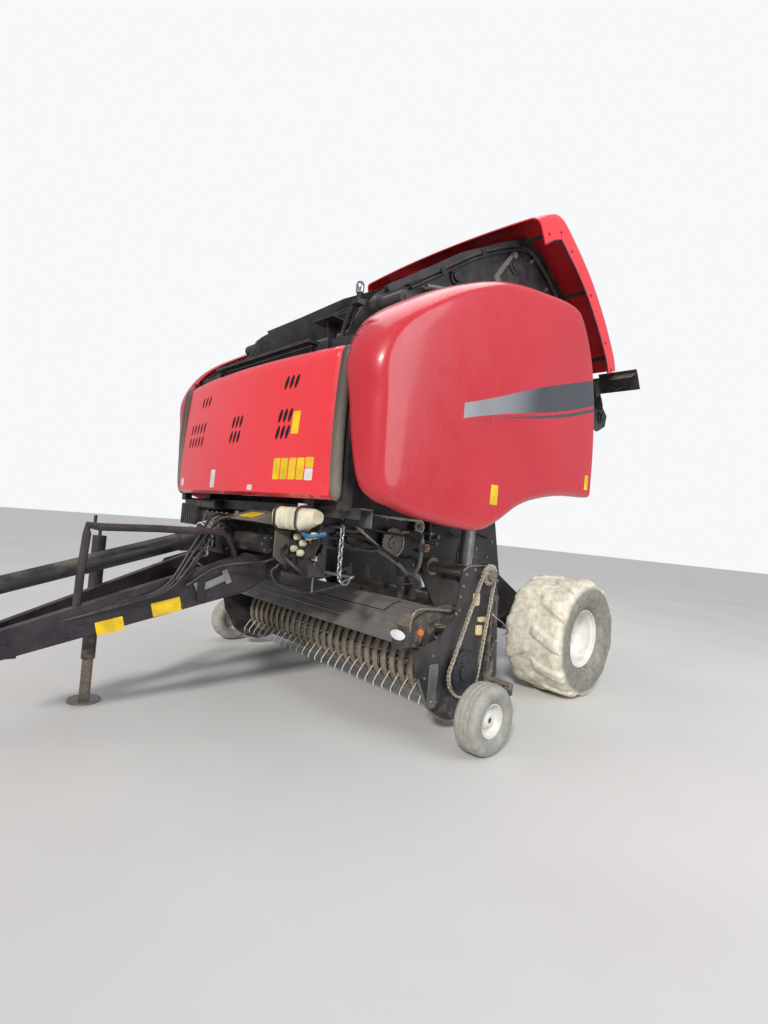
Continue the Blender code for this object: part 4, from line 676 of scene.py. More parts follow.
def main_tyre():
    """Tread of slanting lugs under a coat of dried mud."""
    half, body_r = TYRE_HALF, TYRE_R - 0.022
    outline = [(RIM_R, -half + 0.06), (RIM_R + 0.012, -half + 0.04), (RIM_R + 0.034, -half + 0.024),
               (0.3, -half + 0.006), (0.345, -half + 0.001), (0.385, -half + 0.01), (0.412, -half + 0.032),
               (body_r, -half + 0.075), (body_r + 0.003, -0.08), (body_r + 0.004, 0.0)]
    outline += [(r, -a) for r, a in reversed(outline[:-1])]
    profile = curve(outline, 5)
    pitch = tau * TYRE_R / 11
    loops = []
    for turn in turns(264):
        loop = []
        for r, a in profile:
            side = 1.0 if a > 0.0 else -1.0
            reach = abs(a)
            sweep = 0.085 * min(1.0, max(0.0, (reach - 0.012) / 0.163)) + 0.02 * hill(reach, 0.175, 0.231)
            s = turn * TYRE_R - sweep - (0.25 * side) * pitch
            s = (s + pitch / 2.0) % pitch - pitch / 2.0
            wide = 0.03 + 0.006 * reach / half
            lug = (1.0 - hill(abs(s), wide, wide + 0.016)) * hill(reach, 0.004, 0.024)
            tread = hill(r, 0.35, 0.41)
            spot = Vector((a * 9.0, cos(turn) * 4.2, sin(turn) * 4.2 + side * 0.2))
            lumps = noise.noise(spot) * 0.5 + noise.noise(spot * 3.1) * 0.3 + noise.noise(spot * 8.3) * 0.2
            cake = noise.noise(spot * 0.6 + Vector((9.0, 2.0, 4.0)))
            high = 0.019 * lug * (0.75 + 0.5 * max(0.0, 0.5 + cake)) + 0.0085 * lumps + 0.004 * max(0.0, cake)
            high = tread * high + (1.0 - tread) * 0.0012 * lumps
            band = 0.0025 * exp(-((r - 0.262) / 0.004) ** 2) + 0.002 * exp(-((r - 0.335) / 0.003) ** 2)
            a_out = a + side * (band + (1.0 - tread) * 0.001 * lumps) if r < 0.4 else a
            a_out = max(-half, min(half, a_out))
            radius = min(r + high, TYRE_R - 0.0005)
            loop.append((TRACK_X + a_out, radius * cos(turn), TYRE_R + radius * sin(turn)))
        loops.append(loop)
    return Solid().loft(loops, True)


def main_rim():
    half, seat = TYRE_HALF - 0.062, RIM_R - 0.0005
    edge = [(seat, -half), (seat, half), (seat - 0.003, half + 0.005), (seat - 0.01, half + 0.006),
            (seat - 0.014, half), (seat - 0.016, half - 0.016), (seat - 0.027, half - 0.026), (seat - 0.03, 0.08),
            (seat - 0.036, 0.064), (seat - 0.055, 0.052), (0.138, 0.04), (0.12, 0.031), (0.108, 0.03),
            (0.092, 0.044), (0.07, 0.05), (0.05, 0.052), (0.033, 0.052), (0.033, -0.09),
            (0.07, -0.09), (0.07, 0.012), (seat - 0.034, 0.03), (seat - 0.014, -half + 0.004)]
    return Solid().turned([(r, a + TRACK_X) for r, a in edge], "X", (0.0, TYRE_R), 96)


def main_hub():
    """Wheel nuts, the hub's cap and the air valve."""
    hub = Solid()
    cap = [(0.001, 0.049), (0.047, 0.049), (0.047, 0.07), (0.043, 0.076), (0.036, 0.078), (0.034, 0.09),
           (0.028, 0.096), (0.001, 0.098)]
    hub.turned([(r, a + TRACK_X) for r, a in cap], "X", (0.0, TYRE_R), 40)
    for y, z in circle(0.093, 8, (0.0, TYRE_R), pi / 8):
        hub.bolt((TRACK_X + 0.043, y, z), OUT, 0.013)
        hub.rod((TRACK_X + 0.043, y, z), (TRACK_X + 0.065, y, z), 0.006, 10)
    hub.rod((TRACK_X + 0.12, 0.0, TYRE_R + 0.188), (TRACK_X + 0.158, 0.0, TYRE_R + 0.182), 0.0055, 10, 0.004)
    return hub


def gauge_tyre():
    half, r0 = GAUGE_HALF, GAUGE_AT[2]
    outline = [(GAUGE_RIM_R, -0.05), (0.108, -half + 0.012), (0.128, -half + 0.002), (0.15, -half),
               (0.17, -half + 0.008), (0.184, -0.055), (r0 - 0.004, -0.036), (r0 - 0.002, -0.015), (r0 - 0.002, 0.0)]
    outline += [(r, -a) for r, a in reversed(outline[:-1])]
    profile = curve(outline, 4)
    loops = []
    for i, t in enumerate(turns(160)):
        loop = []
        for r, a in profile:
            groove = 0.0
            for centre in (-0.03, 0.0, 0.03):
                groove = max(groove, 1.0 - hill(abs(a - centre), 0.002, 0.005))
            sipe = 1.0 - hill(abs((i % 8) - 4.0), 0.8, 1.8)
            tread = hill(r, 0.176, 0.186)
            high = -0.004 * max(groove, sipe * 0.6) * tread
            spot = Vector((a * 20.0, cos(t) * 5.0, sin(t) * 5.0))
            high += 0.0015 * (noise.noise(spot) - 0.4)
            radius = min(r + high, r0 - 0.0002)
            loop.append((GAUGE_AT[0] + a, GAUGE_AT[1] + radius * cos(t), r0 + radius * sin(t)))
        loops.append(loop)
    return Solid().loft(loops, True)


def gauge_rim():
    seat = GAUGE_RIM_R - 0.0005
    edge = [(seat, -0.052), (seat, 0.053), (seat - 0.003, 0.056), (seat - 0.008, 0.054), (seat - 0.012, 0.03),
            (seat - 0.02, 0.016), (0.055, 0.016), (0.042, 0.03), (0.03, 0.04), (0.0155, 0.04), (0.0155, -0.05),
            (0.03, -0.05), (0.034, -0.01), (seat - 0.014, 0.004)]
    rim = Solid().turned([(r, a + GAUGE_AT[0]) for r, a in edge], "X", GAUGE_AT[1:], 72)
    return rim.bolts(GAUGE_AT[0] + 0.018, circle(0.058, 5, GAUGE_AT[1:]), 0.007)


# Covers

SHIELD_RUNS = (
    ([(-2.246, 1.39), (-2.276, 1.58), (-2.292, 1.8), (-2.3, 2.02)], 0.18, 0.12),
    ([(-2.18, 2.245), (-1.93, 2.44), (-1.62, 2.615), (-1.24, 2.765), (-0.78, 2.848), (-0.47, 2.872),
      (-0.33, 2.8)], 0.11, 0.08),
    ([(-0.18, 2.56), (-0.09, 2.25), (-0.052, 1.9), (-0.045, 1.62), (-0.05, 1.535)], 0.03, 0.03),
    ([(-0.11, 1.515), (-0.47, 1.493), (-0.78, 1.44), (-0.99, 1.375), (-1.2, 1.262), (-1.37, 1.2),
      (-1.56, 1.2), (-1.9, 1.235), (-2.09, 1.275), (-2.19, 1.312)], 0.04, 0.05),
)


def shield():
    """Moulded side shield whose front, top and lower edges roll inwards."""
    rows = []
    for points, depth, inset in SHIELD_RUNS:
        rows += [[y, z, depth, inset] for y, z in points]
    for i, extra in ((3, 0.02), (4, 0.2), (5, 0.23), (6, 0.09)):
        rows[i][2] += extra
    for index in (2, 3):
        for _ in range(3):
            values = [row[index] for row in rows]
            for i, row in enumerate(rows):
                row[index] = (values[i - 1] + 2.0 * values[i] + values[(i + 1) % len(rows)]) / 4.0
    rows = curve([tuple(row) for row in rows], 6, True)
    sides = normals([row[:2] for row in rows], True)
    for _ in range(24):
        arrows = [Vector(n) for n in sides]
        sides = [tuple((arrows[i - 1] + 2.0 * arrows[i] + arrows[(i + 1) % len(arrows)]).normalized())
                 for i in range(len(arrows))]
    area = sum(rows[i - 1][0] * rows[i][1] - rows[i][0] * rows[i - 1][1] for i in range(len(rows)))
    inward = 1.0 if area > 0.0 else -1.0

    def loop(roll, sink, grow):
        out = []
        for (y, z, depth, inset), (ny, nz) in zip(rows, sides):
            t = radians(roll)
            move = inward * (inset * (1.0 - cos(t)) + grow)
            out.append((SHIELD_X - sink - depth * (1.0 - sin(t)), y + ny * move, z + nz * move))
        return out

    def bulge(edge, share, sink):
        x = SHIELD_X - sink + 0.01 * (1.0 - share * share)
        a, b = SHIELD_MIDDLE
        return [(x, a + (y - a) * share, b + (z - b) * share) for _, y, z in edge]

    outer = [loop(9.0 * k, 0.0, 0.0) for k in range(11)]
    inner = [loop(9.0 * k, SHIELD_T, SHIELD_T) for k in range(11)]
    shares = (0.9, 0.78, 0.64, 0.48, 0.32, 0.16, 0.04)
    front = [bulge(outer[-1], share, 0.0) for share in shares]
    back = [bulge(inner[-1], share, SHIELD_T) for share in shares]
    part = Solid().loft(front[::-1] + outer[::-1] + inner + back)
    for y in KNUCKLES:
        part.box((HINGE_X + 0.004, y - 0.0297, HINGE_Z - 0.008), (SHIELD_X - 0.012, y + 0.0297, HINGE_Z + 0.008))
        part.ring("Y", (HINGE_X, HINGE_Z), 0.016, 0.0086, y - 0.0297, y + 0.0297, 24)
    return part


def shield_inside():
    """Stiffening bows inside a shield."""
    part = Solid()
    for y, low in ((-0.78, 1.56), (-1.56, 1.4)):
        part.box((1.184, y - 0.02, low), (1.206, y + 0.02, 2.3))
    return part.box((1.184, -2.0, 1.7), (1.206, -0.19, 1.74))


LOUVRES = (
    (-0.575, 1.93, 3, 0.06), (0.512, 1.935, 3, 0.046),
    (-0.725, 1.745, 5, 0.061), (-0.74, 1.65, 5, 0.061),
    (-0.025, 1.745, 3, 0.048), (-0.035, 1.65, 3, 0.048),
    (0.497, 1.745, 3, 0.045), (0.49, 1.65, 3, 0.045),
)
PANEL_HALF = 0.928
PANEL_ROWS = [(1.29, -2.29), (1.31, -2.325), (1.56, -2.322), (1.84, -2.308), (2.07, -2.29), (2.1, -2.262)]


def panel_y(x, z):
    """Front face of the panel."""
    rows = PANEL_ROWS
    for (z0, y0), (z1, y1) in zip(rows, rows[1:]):
        if z <= z1:
            base = y0 + (y1 - y0) * max(0.0, (z - z0) / (z1 - z0))
            break
    else:
        base = rows[-1][1]
    c = x / PANEL_HALF
    return base - 0.06 * (1.0 - c * c) + 0.03 * hill(abs(c), 0.965, 1.0)


def panel_slots():
    for x, z, count, pitch in LOUVRES:
        for i in range(count):
            yield x + i * pitch, z


def front_panel():
    heights = [1.29, 1.294, 1.3, 1.31] + [1.31 + 0.76 * k / 16 for k in range(1, 17)] + [2.082, 2.094, 2.1]
    columns = [-1.0, -0.996, -0.985, -0.97] + [-0.97 + 1.94 * k / 36 for k in range(1, 36)]
    columns += [0.97, 0.985, 0.996, 1.0]
    loops = []
    for z in heights:
        xs = [c * PANEL_HALF for c in columns]
        front = [(x, panel_y(x, z), z) for x in xs]
        back = [(x, panel_y(x, z) + 0.02, z) for x in xs]
        loops.append(front + back[::-1])
    part = Solid().loft(loops)
    for x in (-0.5, 0.5):
        part.prism([(-2.296, 2.06), (-2.296, 2.09), (-2.234, 2.112), (-2.218, 2.11), (-2.216, 2.092), (-2.238, 2.088)],
                   "X", x - 0.025, x + 0.025)
    return part


def slot_outline(x, z, wide, high):
    """Leaning oval slot."""
    return [(x + a + 0.26 * b, z + b) for a, b in ellipse(wide, high, 20)]


def slot_cutters():
    part = Solid()
    for x, z in panel_slots():
        part.loft([[(a, y, b) for a, b in slot_outline(x, z, 0.0165, 0.04)] for y in (-2.6, -2.1)])
    return part


def slot_shade_sheets():
    """Black sheet a little below the panel's face in each slot, painted shade that makes the slots read dark."""
    part = Solid()
    for x, z in panel_slots():
        outline = slot_outline(x, z, 0.0162, 0.0396)
        part.loft([[(a, panel_y(a, b) + out, b) for a, b in outline] for out in (0.003, 0.019)])
        for k in (-0.5, 0.0, 0.5):
            line = [(x + 0.26 * 0.026 * k + u, z + 0.026 * k) for u in (-0.013, 0.013)]
            part.along([(a, panel_y(a, b) + 0.0025, b) for a, b in line], circle(0.0012, 5))
    return part


def slot_shade_backing():
    """Dark plates behind the groups of slots, painted shade seen through them."""
    part = Solid()
    for x, z, count, pitch in LOUVRES:
        x0, x1 = x - 0.03, x + (count - 1) * pitch + 0.03
        y = panel_y((x0 + x1) / 2.0, z) + 0.0225
        part.box((x0, y, z - 0.04), (x1, y + 0.006, z + 0.04))
    return part


def seal_strip():
    """Round rubber tube with closed ends on its carrier."""
    x, ahead = SEAL_AT
    path = curve([(1.285, -2.232), (1.42, -2.244), (1.62, -2.25), (1.84, -2.246), (2.0, -2.236), (2.09, -2.226)], 6)
    ends = (0.25, 0.62, 0.85, 0.96)
    full = [1.0] * (len(path) - 2 * len(ends))
    loops = []
    for (z, y), share in zip(path, [*ends, *full, *ends[::-1]]):
        loops.append([(x + a * share, y + ahead + b * share, z) for a, b in ellipse(0.034, 0.032, 28)])
    return Solid().loft(loops)


def seal_carrier():
    part = Solid()
    part.box((0.95, -2.255, 1.24), (1.008, -2.2003, 2.14))
    return part.bolts(1.008, [(-2.228, z) for z in (1.25, 1.7, 2.13)], 0.007)


HOOD_PATH = [(-0.29, 2.7), (-0.1, 2.7), (0.08, 2.65), (0.22, 2.45), (0.38, 2.13), (0.49, 1.77),
             (0.545, 1.42), (0.53, 1.27)]


def hood_stations(per=8):
    path = curve(HOOD_PATH, per)
    return [(y, z, ny, nz) for (y, z), (ny, nz) in zip(path, normals(path))]


def across_hood(station, half, grow, depth_end=0.21):
    y, z, ny, nz = station
    corner, dome = 0.07, 0.03
    flat = [(-half, depth_end), (-half, depth_end * 0.7), (-half, corner)]
    flat += [(-half + corner - corner * cos(radians(t)), corner - (corner + grow) * sin(radians(t)))
             for t in (15, 30, 45, 60, 75)]
    flat += [(x * (half - corner), -grow - dome * (1.0 - x * x)) for x in [k / 10.0 for k in range(-10, 11)]]
    flat += [(-a, b) for a, b in reversed(flat[:8])]
    return [(x, y - ny * d, z - nz * d) for x, d in flat]


def hood():
    loops = []
    for station in hood_stations():
        outer = across_hood(station, HOOD_HALF, 0.0)
        inner = across_hood(station, HOOD_HALF - 0.008, -0.008)
        loops.append(outer + inner[::-1])
    return Solid().loft(loops).lift()


def hood_trim():
    """Folded edge round the hood's opening and its bolts."""
    part = Solid()
    stations = hood_stations(4)
    for side in (-1.0, 1.0):
        line = [(side * (HOOD_HALF - 0.003), y - ny * 0.206, z - nz * 0.206) for y, z, ny, nz in stations]
        part.along(line, rounded(0.012, 0.012, 0.004, 2))
        for y, z, ny, nz in stations[2::5]:
            part.bolt((side * HOOD_HALF, y - ny * 0.15, z - nz * 0.15), (side, 0.0, 0.0), 0.009)
    return part.lift()


# Pickup

def reel_bars():
    """Shaft, spiders and tine bars of the reel."""
    part = Solid()
    part.disc("X", REEL, 0.02, -PLATE_X - 0.03, CHAIN_X + 0.01, 32)
    half = TINES * TINE_PITCH / 2.0
    start = radians(TINE_TURN)
    for at in circle(REEL_BAR_R, 4, REEL, start):
        part.disc("X", at, 0.014, -half, half, 24)
    spider = [(0.094 + 0.044 * cos(4.0 * (t - start)), t) for t in turns(64)]
    outline = [(REEL[0] + r * cos(t), REEL[1] + r * sin(t)) for r, t in spider]
    for x in (-half + 0.004, 0.0, half - 0.004):
        part.prism(outline, "X", x - 0.004, x + 0.004)
    return part


def wheel_with_teeth(part, middle, root, tip, teeth, low, high):
    outline = []
    for k in range(teeth):
        for offset, radius in ((-0.32, root), (-0.12, tip), (0.12, tip), (0.32, root)):
            t = tau * (k + offset) / teeth
            outline.append((middle[0] + radius * cos(t), middle[1] + radius * sin(t)))
    part.prism(outline, "X", low, high)


def reel_tines():
    """Sprung tines: a coil round the bar and a wire that trails at its tip."""
    part = Solid()
    half = TINES * TINE_PITCH / 2.0
    for k in range(4):
        t = radians(TINE_TURN + 90.0 * k)
        out, across = Vector((cos(t), sin(t))), Vector((-sin(t), cos(t)))
        bar = Vector(REEL) + out * REEL_BAR_R
        wire = []
        for step in range(8):
            s = step / 7.0
            bend = 0.012 + 0.088 * s ** 1.7
            reach = min(REEL_BAR_R + 0.172 * s, sqrt(TINE_REACH ** 2 - bend ** 2))
            wire.append(Vector(REEL) + out * reach + across * bend)
        for i in range(TINES):
            x = (i + 0.5) * TINE_PITCH - half
            part.pipe([(x, *p) for p in wire], 0.0033, 6)
            for shift in (-0.0085, 0.0, 0.0085):
                part.along([(x + shift, *p) for p in circle(0.0185, 12, bar)], circle(0.0034, 5), True)
    return part


BAND = ((-0.023, -0.012), (-0.022, -0.004), (-0.016, 0.0), (0.0, 0.0015), (0.016, 0.0), (0.022, -0.004),
        (0.023, -0.012), (0.02, -0.012), (0.019, -0.005), (0.0, -0.0025), (-0.019, -0.005), (-0.02, -0.012))


def stripper_bands():
    """Curved bands between the tines."""
    part = Solid()
    path = [(-1.06, 0.25)] + arc(REEL, 0.185, -52.0, -270.0, 30) + [(-1.09, 0.527)]
    middles = [(i + 1 - TINES / 2.0) * TINE_PITCH for i in range(TINES - 1)]
    for x in middles:
        part.loft([[(x + u, y - ny * v, z - nz * v) for u, v in BAND] for (y, z), (ny, nz) in zip(path, normals(path))])
    for x in middles:
        part.bolt((x, -1.34, 0.5335), UP, 0.006)
    return part


def pickup_pan():
    """Tube between the side plates and the crop pan behind the bands."""
    part = Solid()
    part.disc("X", (-1.03, 0.27), 0.04, -1.1395, 1.1395, 40)
    pan = curve([(-1.105, 0.522), (-1.06, 0.5), (-1.04, 0.46), (-1.03, 0.3)], 4)
    part.prism(strip(pan, -0.006), "X", -1.1295, 1.1295)
    for x in (-0.9, -0.45, 0.0, 0.45, 0.9):
        part.bolt((x, -1.044, 0.44), (0.0, -1.0, 0.1), 0.008)
        part.prism([(-1.036, 0.44), (-1.0, 0.3), (-1.03, 0.3)], "X", x - 0.004, x + 0.004)
    return part


def chain_path(step):
    """Even places along the chain's run round its two wheels."""
    run = Vector(REEL) - Vector(PICKUP)
    heading = degrees(atan2(run.y, run.x))
    spread = degrees(acos((0.14 - 0.062) / run.length))
    path = arc(REEL, 0.14, heading - spread, heading + spread, 60)
    path += arc(PICKUP, 0.062, heading + spread, heading + 360.0 - spread, 40)
    points = [Vector(p) for p in path] + [Vector(path[0])]
    lengths = [(b - a).length for a, b in zip(points, points[1:])]
    total = sum(lengths)
    count = 2 * round(total / step / 2.0)
    places = []
    for k in range(count):
        left, i = total * k / count, 0
        while left > lengths[i]:
            left -= lengths[i]
            i += 1
        places.append(points[i].lerp(points[i + 1], left / lengths[i]))
    return places


def roller_chain():
    part = Solid()
    places = chain_path(0.0254)
    for k, here in enumerate(places):
        there = places[(k + 1) % len(places)]
        part.disc("X", tuple(here), 0.0078, CHAIN_X - 0.005, CHAIN_X + 0.005, 10)
        run = there - here
        ahead = run.normalized()
        side = Vector((-ahead.y, ahead.x))

        def end(place, angles):
            return [place + (ahead * cos(radians(t)) + side * sin(radians(t))) * 0.0088 for t in angles]

        waist = here + run * 0.5
        outline = [*end(here, (90, 130, 180, 230, 270)), waist - side * 0.0062,
                   *end(there, (-90, -50, 0, 50, 90)), waist + side * 0.0062]
        link_plates(part, outline, CHAIN_X, 0.0052 + (0.0018 if k % 2 else 0.0), 0.0017)
    return part


def link_plates(part, outline, x, inner, thick):
    """The two side plates of a chain link."""
    for sign in (-1.0, 1.0):
        part.prism(outline, "X", *sorted((x + sign * inner, x + sign * (inner + thick))))


def chain_wheel():
    part = Solid()
    wheel_with_teeth(part, PICKUP, 0.054, 0.064, 16, CHAIN_X - 0.003, CHAIN_X + 0.003)
    part.ring("X", PICKUP, 0.05, 0.0386, 1.1465, CHAIN_X + 0.01, 40)
    return part.bolts(CHAIN_X + 0.004, circle(0.045, 4, PICKUP, pi / 4), 0.005)


def reel_wheel():
    """Lower chain wheel with its dark hub disc."""
    part = Solid()
    wheel_with_teeth(part, REEL, 0.128, 0.1385, 34, CHAIN_X - 0.003, CHAIN_X + 0.003)
    part.disc("X", REEL, 0.11, CHAIN_X + 0.003, CHAIN_X + 0.006, 48, 0.002)
    part.disc("X", REEL, 0.046, CHAIN_X + 0.005, CHAIN_X + 0.016, 40, 0.003)
    return part.bolts(CHAIN_X + 0.006, circle(0.078, 6, REEL), 0.007)


def plate_details():
    """What is bolted to the outer face of a pickup side plate."""
    part = Solid()
    face = PLATE_X + 0.01
    top = [(-1.42, 0.954), (-1.34, 0.984), (-1.1, 0.984)]
    part.along([(face + 0.004, y, z) for y, z in curve(top, 4)], rounded(0.01, 0.01, 0.003, 2))
    low = [(-1.74, 0.357), (-1.64, 0.187), (-1.52, 0.102), (-1.4, 0.069), (-1.3, 0.081), (-1.16, 0.131),
           (-1.0, 0.233)]
    part.along([(face + 0.005, y, z) for y, z in curve(low, 5)], rounded(0.012, 0.012, 0.004, 2))
    return part.bolts(face + 0.001, (
        (-1.38, 0.93), (-1.4, 0.86), (-1.42, 0.8), (-1.3, 0.96), (-1.15, 0.94), (-1.12, 0.82),
        (-1.2, 0.64), (-1.62, 0.47), (-1.68, 0.35), (-1.56, 0.2), (-1.06, 0.89), (-1.45, 0.7)), 0.009)


def plate_cover():
    """Dark bearing plate of the reel."""
    part = Solid().pad("X", REEL, 0.17, 0.2, 0.03, 5, PLATE_FACE, 1.148)
    part.bolts(1.148, [(REEL[0] + a, REEL[1] + b) for b in (0.08, -0.08) for a in (-0.066, 0.066)], 0.008)
    return part.ring("X", REEL, 0.044, 0.0212, 1.148, 1.158, 36)


def pale_cover():
    part = Solid().pad("X", (-1.61, 0.3), 0.075, 0.25, 0.014, 4, PLATE_FACE, 1.146)
    part.bolts(1.146, [(-1.61, 0.21)], 0.01)
    return part.bolts(1.146, [(-1.61, 0.395)], 0.007)


def pale_guides():
    """Pale wear guides beside the chain and at the slotted bar."""
    part = Solid()
    for y, z, w, h in ((-1.275, 0.78, 0.05, 0.075), (-1.205, 0.655, 0.07, 0.03), (-1.225, 0.59, 0.05, 0.06)):
        part.pad("X", (y, z), w, h, 0.008, 3, PLATE_FACE, 1.157).bolts(1.157, [(y, z)], 0.006)
    return part


# Wind guard

def guard_sheet():
    """Folded guard sheet with its long ribs and bolts."""
    half = GUARD_HALF
    part = Solid()
    top = [(-1.5, 0.722), (-1.56, 0.714), (-1.62, 0.7), (-1.7, 0.655), (-1.77, 0.6), (-1.8, 0.53)]
    part.prism(strip(top, 0.008), "X", -half, half)
    part.prism(strip([(-1.8, 0.54), (-1.77, 0.52), (-1.64, 0.5)], 0.008), "X", -half, half)
    for y, z, w in ((-1.54, 0.715, 0.014), (-1.59, 0.706, 0.022), (-1.64, 0.686, 0.014),
                    (-1.69, 0.66, 0.022), (-1.735, 0.626, 0.014), (-1.768, 0.598, 0.018)):
        part.along([(-half + 0.05, y, z), (half - 0.05, y, z)], rounded(w, 0.014, 0.005, 3))
    part.prism(strip([(-1.7, 0.672), (-1.64, 0.704), (-1.56, 0.724)], 0.004), "X", -half + 0.3, half - 0.3)
    for i in range(9):
        x = -0.96 + 0.24 * i
        part.bolt((x, -1.7, 0.646), (0.0, -0.5, 0.85), 0.009)
        part.bolt((x + 0.11, -1.54, 0.708), (0.0, -0.1, 1.0), 0.007)
        part.bolt((x, -1.791, 0.566), (0.0, -1.0, 0.3), 0.007)
    return part


def guard_arms():
    """End boxes, arms and hinge pins of the wind guard."""
    part = Solid()
    arm = [(-1.4, 0.745), (-1.4, 0.695), (-1.44, 0.69), (-1.64, 0.64), (-1.7, 0.52), (-1.81, 0.52),
           (-1.8, 0.64), (-1.64, 0.72), (-1.48, 0.745)]
    box_side = [(-1.56, 0.7), (-1.545, 0.56), (-1.56, 0.5), (-1.8, 0.5), (-1.812, 0.53), (-1.8, 0.64),
                (-1.7, 0.7)]
    for side in (-1.0, 1.0):
        part.prism(arm, "X", *sorted((side * 1.073, side * 1.095)))
        part.prism(box_side, "X", *sorted((side * 0.985, side * 1.0725)))
        part.disc("X", (-1.42, 0.72), 0.014, *sorted((side * 1.085, side * 1.148)), 28)
        part.disc("X", (-1.42, 0.72), 0.03, *sorted((side * 1.095, side * 1.101)), 28)
        for y, z in ((-1.74, 0.6), (-1.64, 0.66), (-1.5, 0.715)):
            part.bolt((side * 1.095, y, z), (side, 0.0, 0.0), 0.008)
    return part


def oval(part, x, y, z, wide, high, thick):
    """Rounded oval that faces the front."""
    steps = ((0.86, 0.0), (1.0, -thick * 0.35), (1.0, -thick * 0.8), (0.86, -thick))
    return part.loft([[(x + a, y + t, z + b) for a, b in ellipse(s * wide, s * high, 40)] for s, t in steps])


# Front

def tank():
    """Plastic tank with a tapered end, moulded bands and a filler cap."""
    def section(x, grow):
        low_y, high_y, low_z, high_z = -2.352 - grow, -2.2205, 1.118 - grow, 1.238 + min(grow, 0.002)
        taper = hill(x, 0.7, 0.8)
        low_y += taper * 0.035
        low_z += taper * 0.03
        a, b = (low_y + high_y) / 2.0, (low_z + high_z) / 2.0
        shrink = 1.0 - 0.25 * hill(abs(x - 0.64), 0.14, 0.166)
        outline = rounded(high_y - low_y, high_z - low_z, 0.04, 6)
        return [(x, a + (high_y - a) * (1.0 - shrink) + u * shrink, b + v * shrink) for u, v in outline]

    bands = (9, 10, 20, 21, 31, 32)
    part = Solid().loft([section(0.474 + 0.33 * k / 42, 0.004 if k in bands else 0.0) for k in range(43)])
    return part.rod((0.7, -2.29, 1.232), (0.7, -2.29, 1.262), 0.026, 24)


def tank_straps():
    part = Solid()
    for x in (0.532, 0.742):
        ring = [(x, -2.29 + a, 1.178 + b) for a, b in rounded(0.14, 0.136, 0.044, 6)]
        part.along(ring, rounded(0.004, 0.014, 0.0015, 1), True)
    return part.box((0.47, -2.225, 1.095), (0.8, FRAME_FACE, 1.2))


def knob_plate():
    part = Solid()
    outline = [(0.56, 0.96), (0.56, 1.08), (0.64, 1.118), (0.78, 1.112), (0.8, 1.06), (0.745, 0.965)]
    part.prism(outline, "Y", -2.226, FRAME_FACE)
    for x, z in ((0.585, 0.98), (0.72, 0.98), (0.6, 1.085)):
        part.bolt((x, -2.226, z), FRONT, 0.008)
    return part


def knobs():
    """Six round knobs on short stems."""
    part = Solid()
    outline = [(0.001, -2.262), (0.016, -2.262), (0.018, -2.258), (0.018, -2.236), (0.01, -2.232), (0.01, -2.224),
               (0.001, -2.224)]
    for x, z in ((0.612, 1.076), (0.672, 1.046), (0.59, 1.008), (0.655, 0.99), (0.722, 1.082), (0.77, 1.094)):
        part.turned(outline, "Y", (x, z), 28)
        part.rod((x, -2.262, z), (x, -2.268, z), 0.008, 18)
    return part


def valve_block():
    """Valve plate with its hose ends."""
    part = Solid().box((0.44, -2.234, 0.865), (0.58, -2.2103, 1.06))
    for row, z in enumerate((0.905, 0.96, 1.015)):
        for x in (0.48 + 0.01 * row, 0.54 + 0.01 * row):
            part.rod((x, -2.23, z), (x, -2.25, z), 0.016, 6)
            part.rod((x, -2.248, z), (x, -2.275, z), 0.0105, 18)
    return part


def chain_links(part, points, size=0.0042):
    """Hanging chain of oval links."""
    line = curve(points, 8)
    pitch, left, spots = size * 5.4, 0.0, []
    for a, b in zip(line, line[1:]):
        run = Vector(b) - Vector(a)
        while left < run.length:
            spots.append((Vector(a) + run.normalized() * left, run.normalized()))
            left += pitch
        left -= run.length
    for k, (at, ahead) in enumerate(spots):
        side = ahead.cross(Vector((0.3, 0.2, 1.0) if abs(ahead.z) < 0.9 else OUT)).normalized()
        across = side if k % 2 else side.cross(ahead)
        ring = [at + ahead * u + across * v for u, v in ellipse(size * 3.6, size * 1.9, 14)]
        part.along(ring, circle(size * 0.85, 6), True)
    return part


def bellows(part, start, end, low, high, folds):
    """Pleated sleeve between two points."""
    a, b = Vector(start), Vector(end)
    ahead = (b - a).normalized()
    side = ahead.cross(Vector(UP)).normalized()
    up = side.cross(ahead)
    loops = []
    for k in range(folds * 4 + 1):
        middle = a + (b - a) * (k / (folds * 4))
        radius = low + (high - low) * (0.5 - 0.5 * cos(pi * k / 2.0))
        loops.append([middle + side * u + up * v for u, v in circle(radius, 36)])
    return part.loft(loops)


DRIVE_AHEAD = Vector((0.0, -cos(radians(16.0)), -sin(radians(16.0))))
DRIVE_START = Vector((0.0, -2.56, 1.01))


def on_drive(distance):
    """Point on the drive line's axis."""
    return DRIVE_START + DRIVE_AHEAD * distance


def drive_steps(part, rows):
    for low, high, start, end in rows:
        part.rod(on_drive(low), on_drive(high), start, 48, end)
    return part


def drive_rear():
    part = drive_steps(Solid(), ((-0.005, 0.02, 0.062, 0.074), (0.02, 0.034, 0.074, 0.074),
                                 (0.034, 0.11, 0.074, 0.056)))
    line = [(0.045, 0.08), (0.05, 0.08), (0.05, 0.6), (0.052, 0.602), (0.052, 0.62), (0.045, 0.62)]
    side = DRIVE_AHEAD.cross(Vector(UP)).normalized()
    up = side.cross(DRIVE_AHEAD)
    outs = [side * cos(t) + up * sin(t) for t in turns(48)]
    return part.loft([[on_drive(s) + out * r for r, s in line] for out in outs], True)


def drive_front():
    return drive_steps(Solid(), ((0.5, 1.15, 0.0444, 0.0444), (1.06, 1.085, 0.05, 0.056),
                                 (1.085, 1.18, 0.056, 0.076), (1.18, 1.2, 0.078, 0.078)))


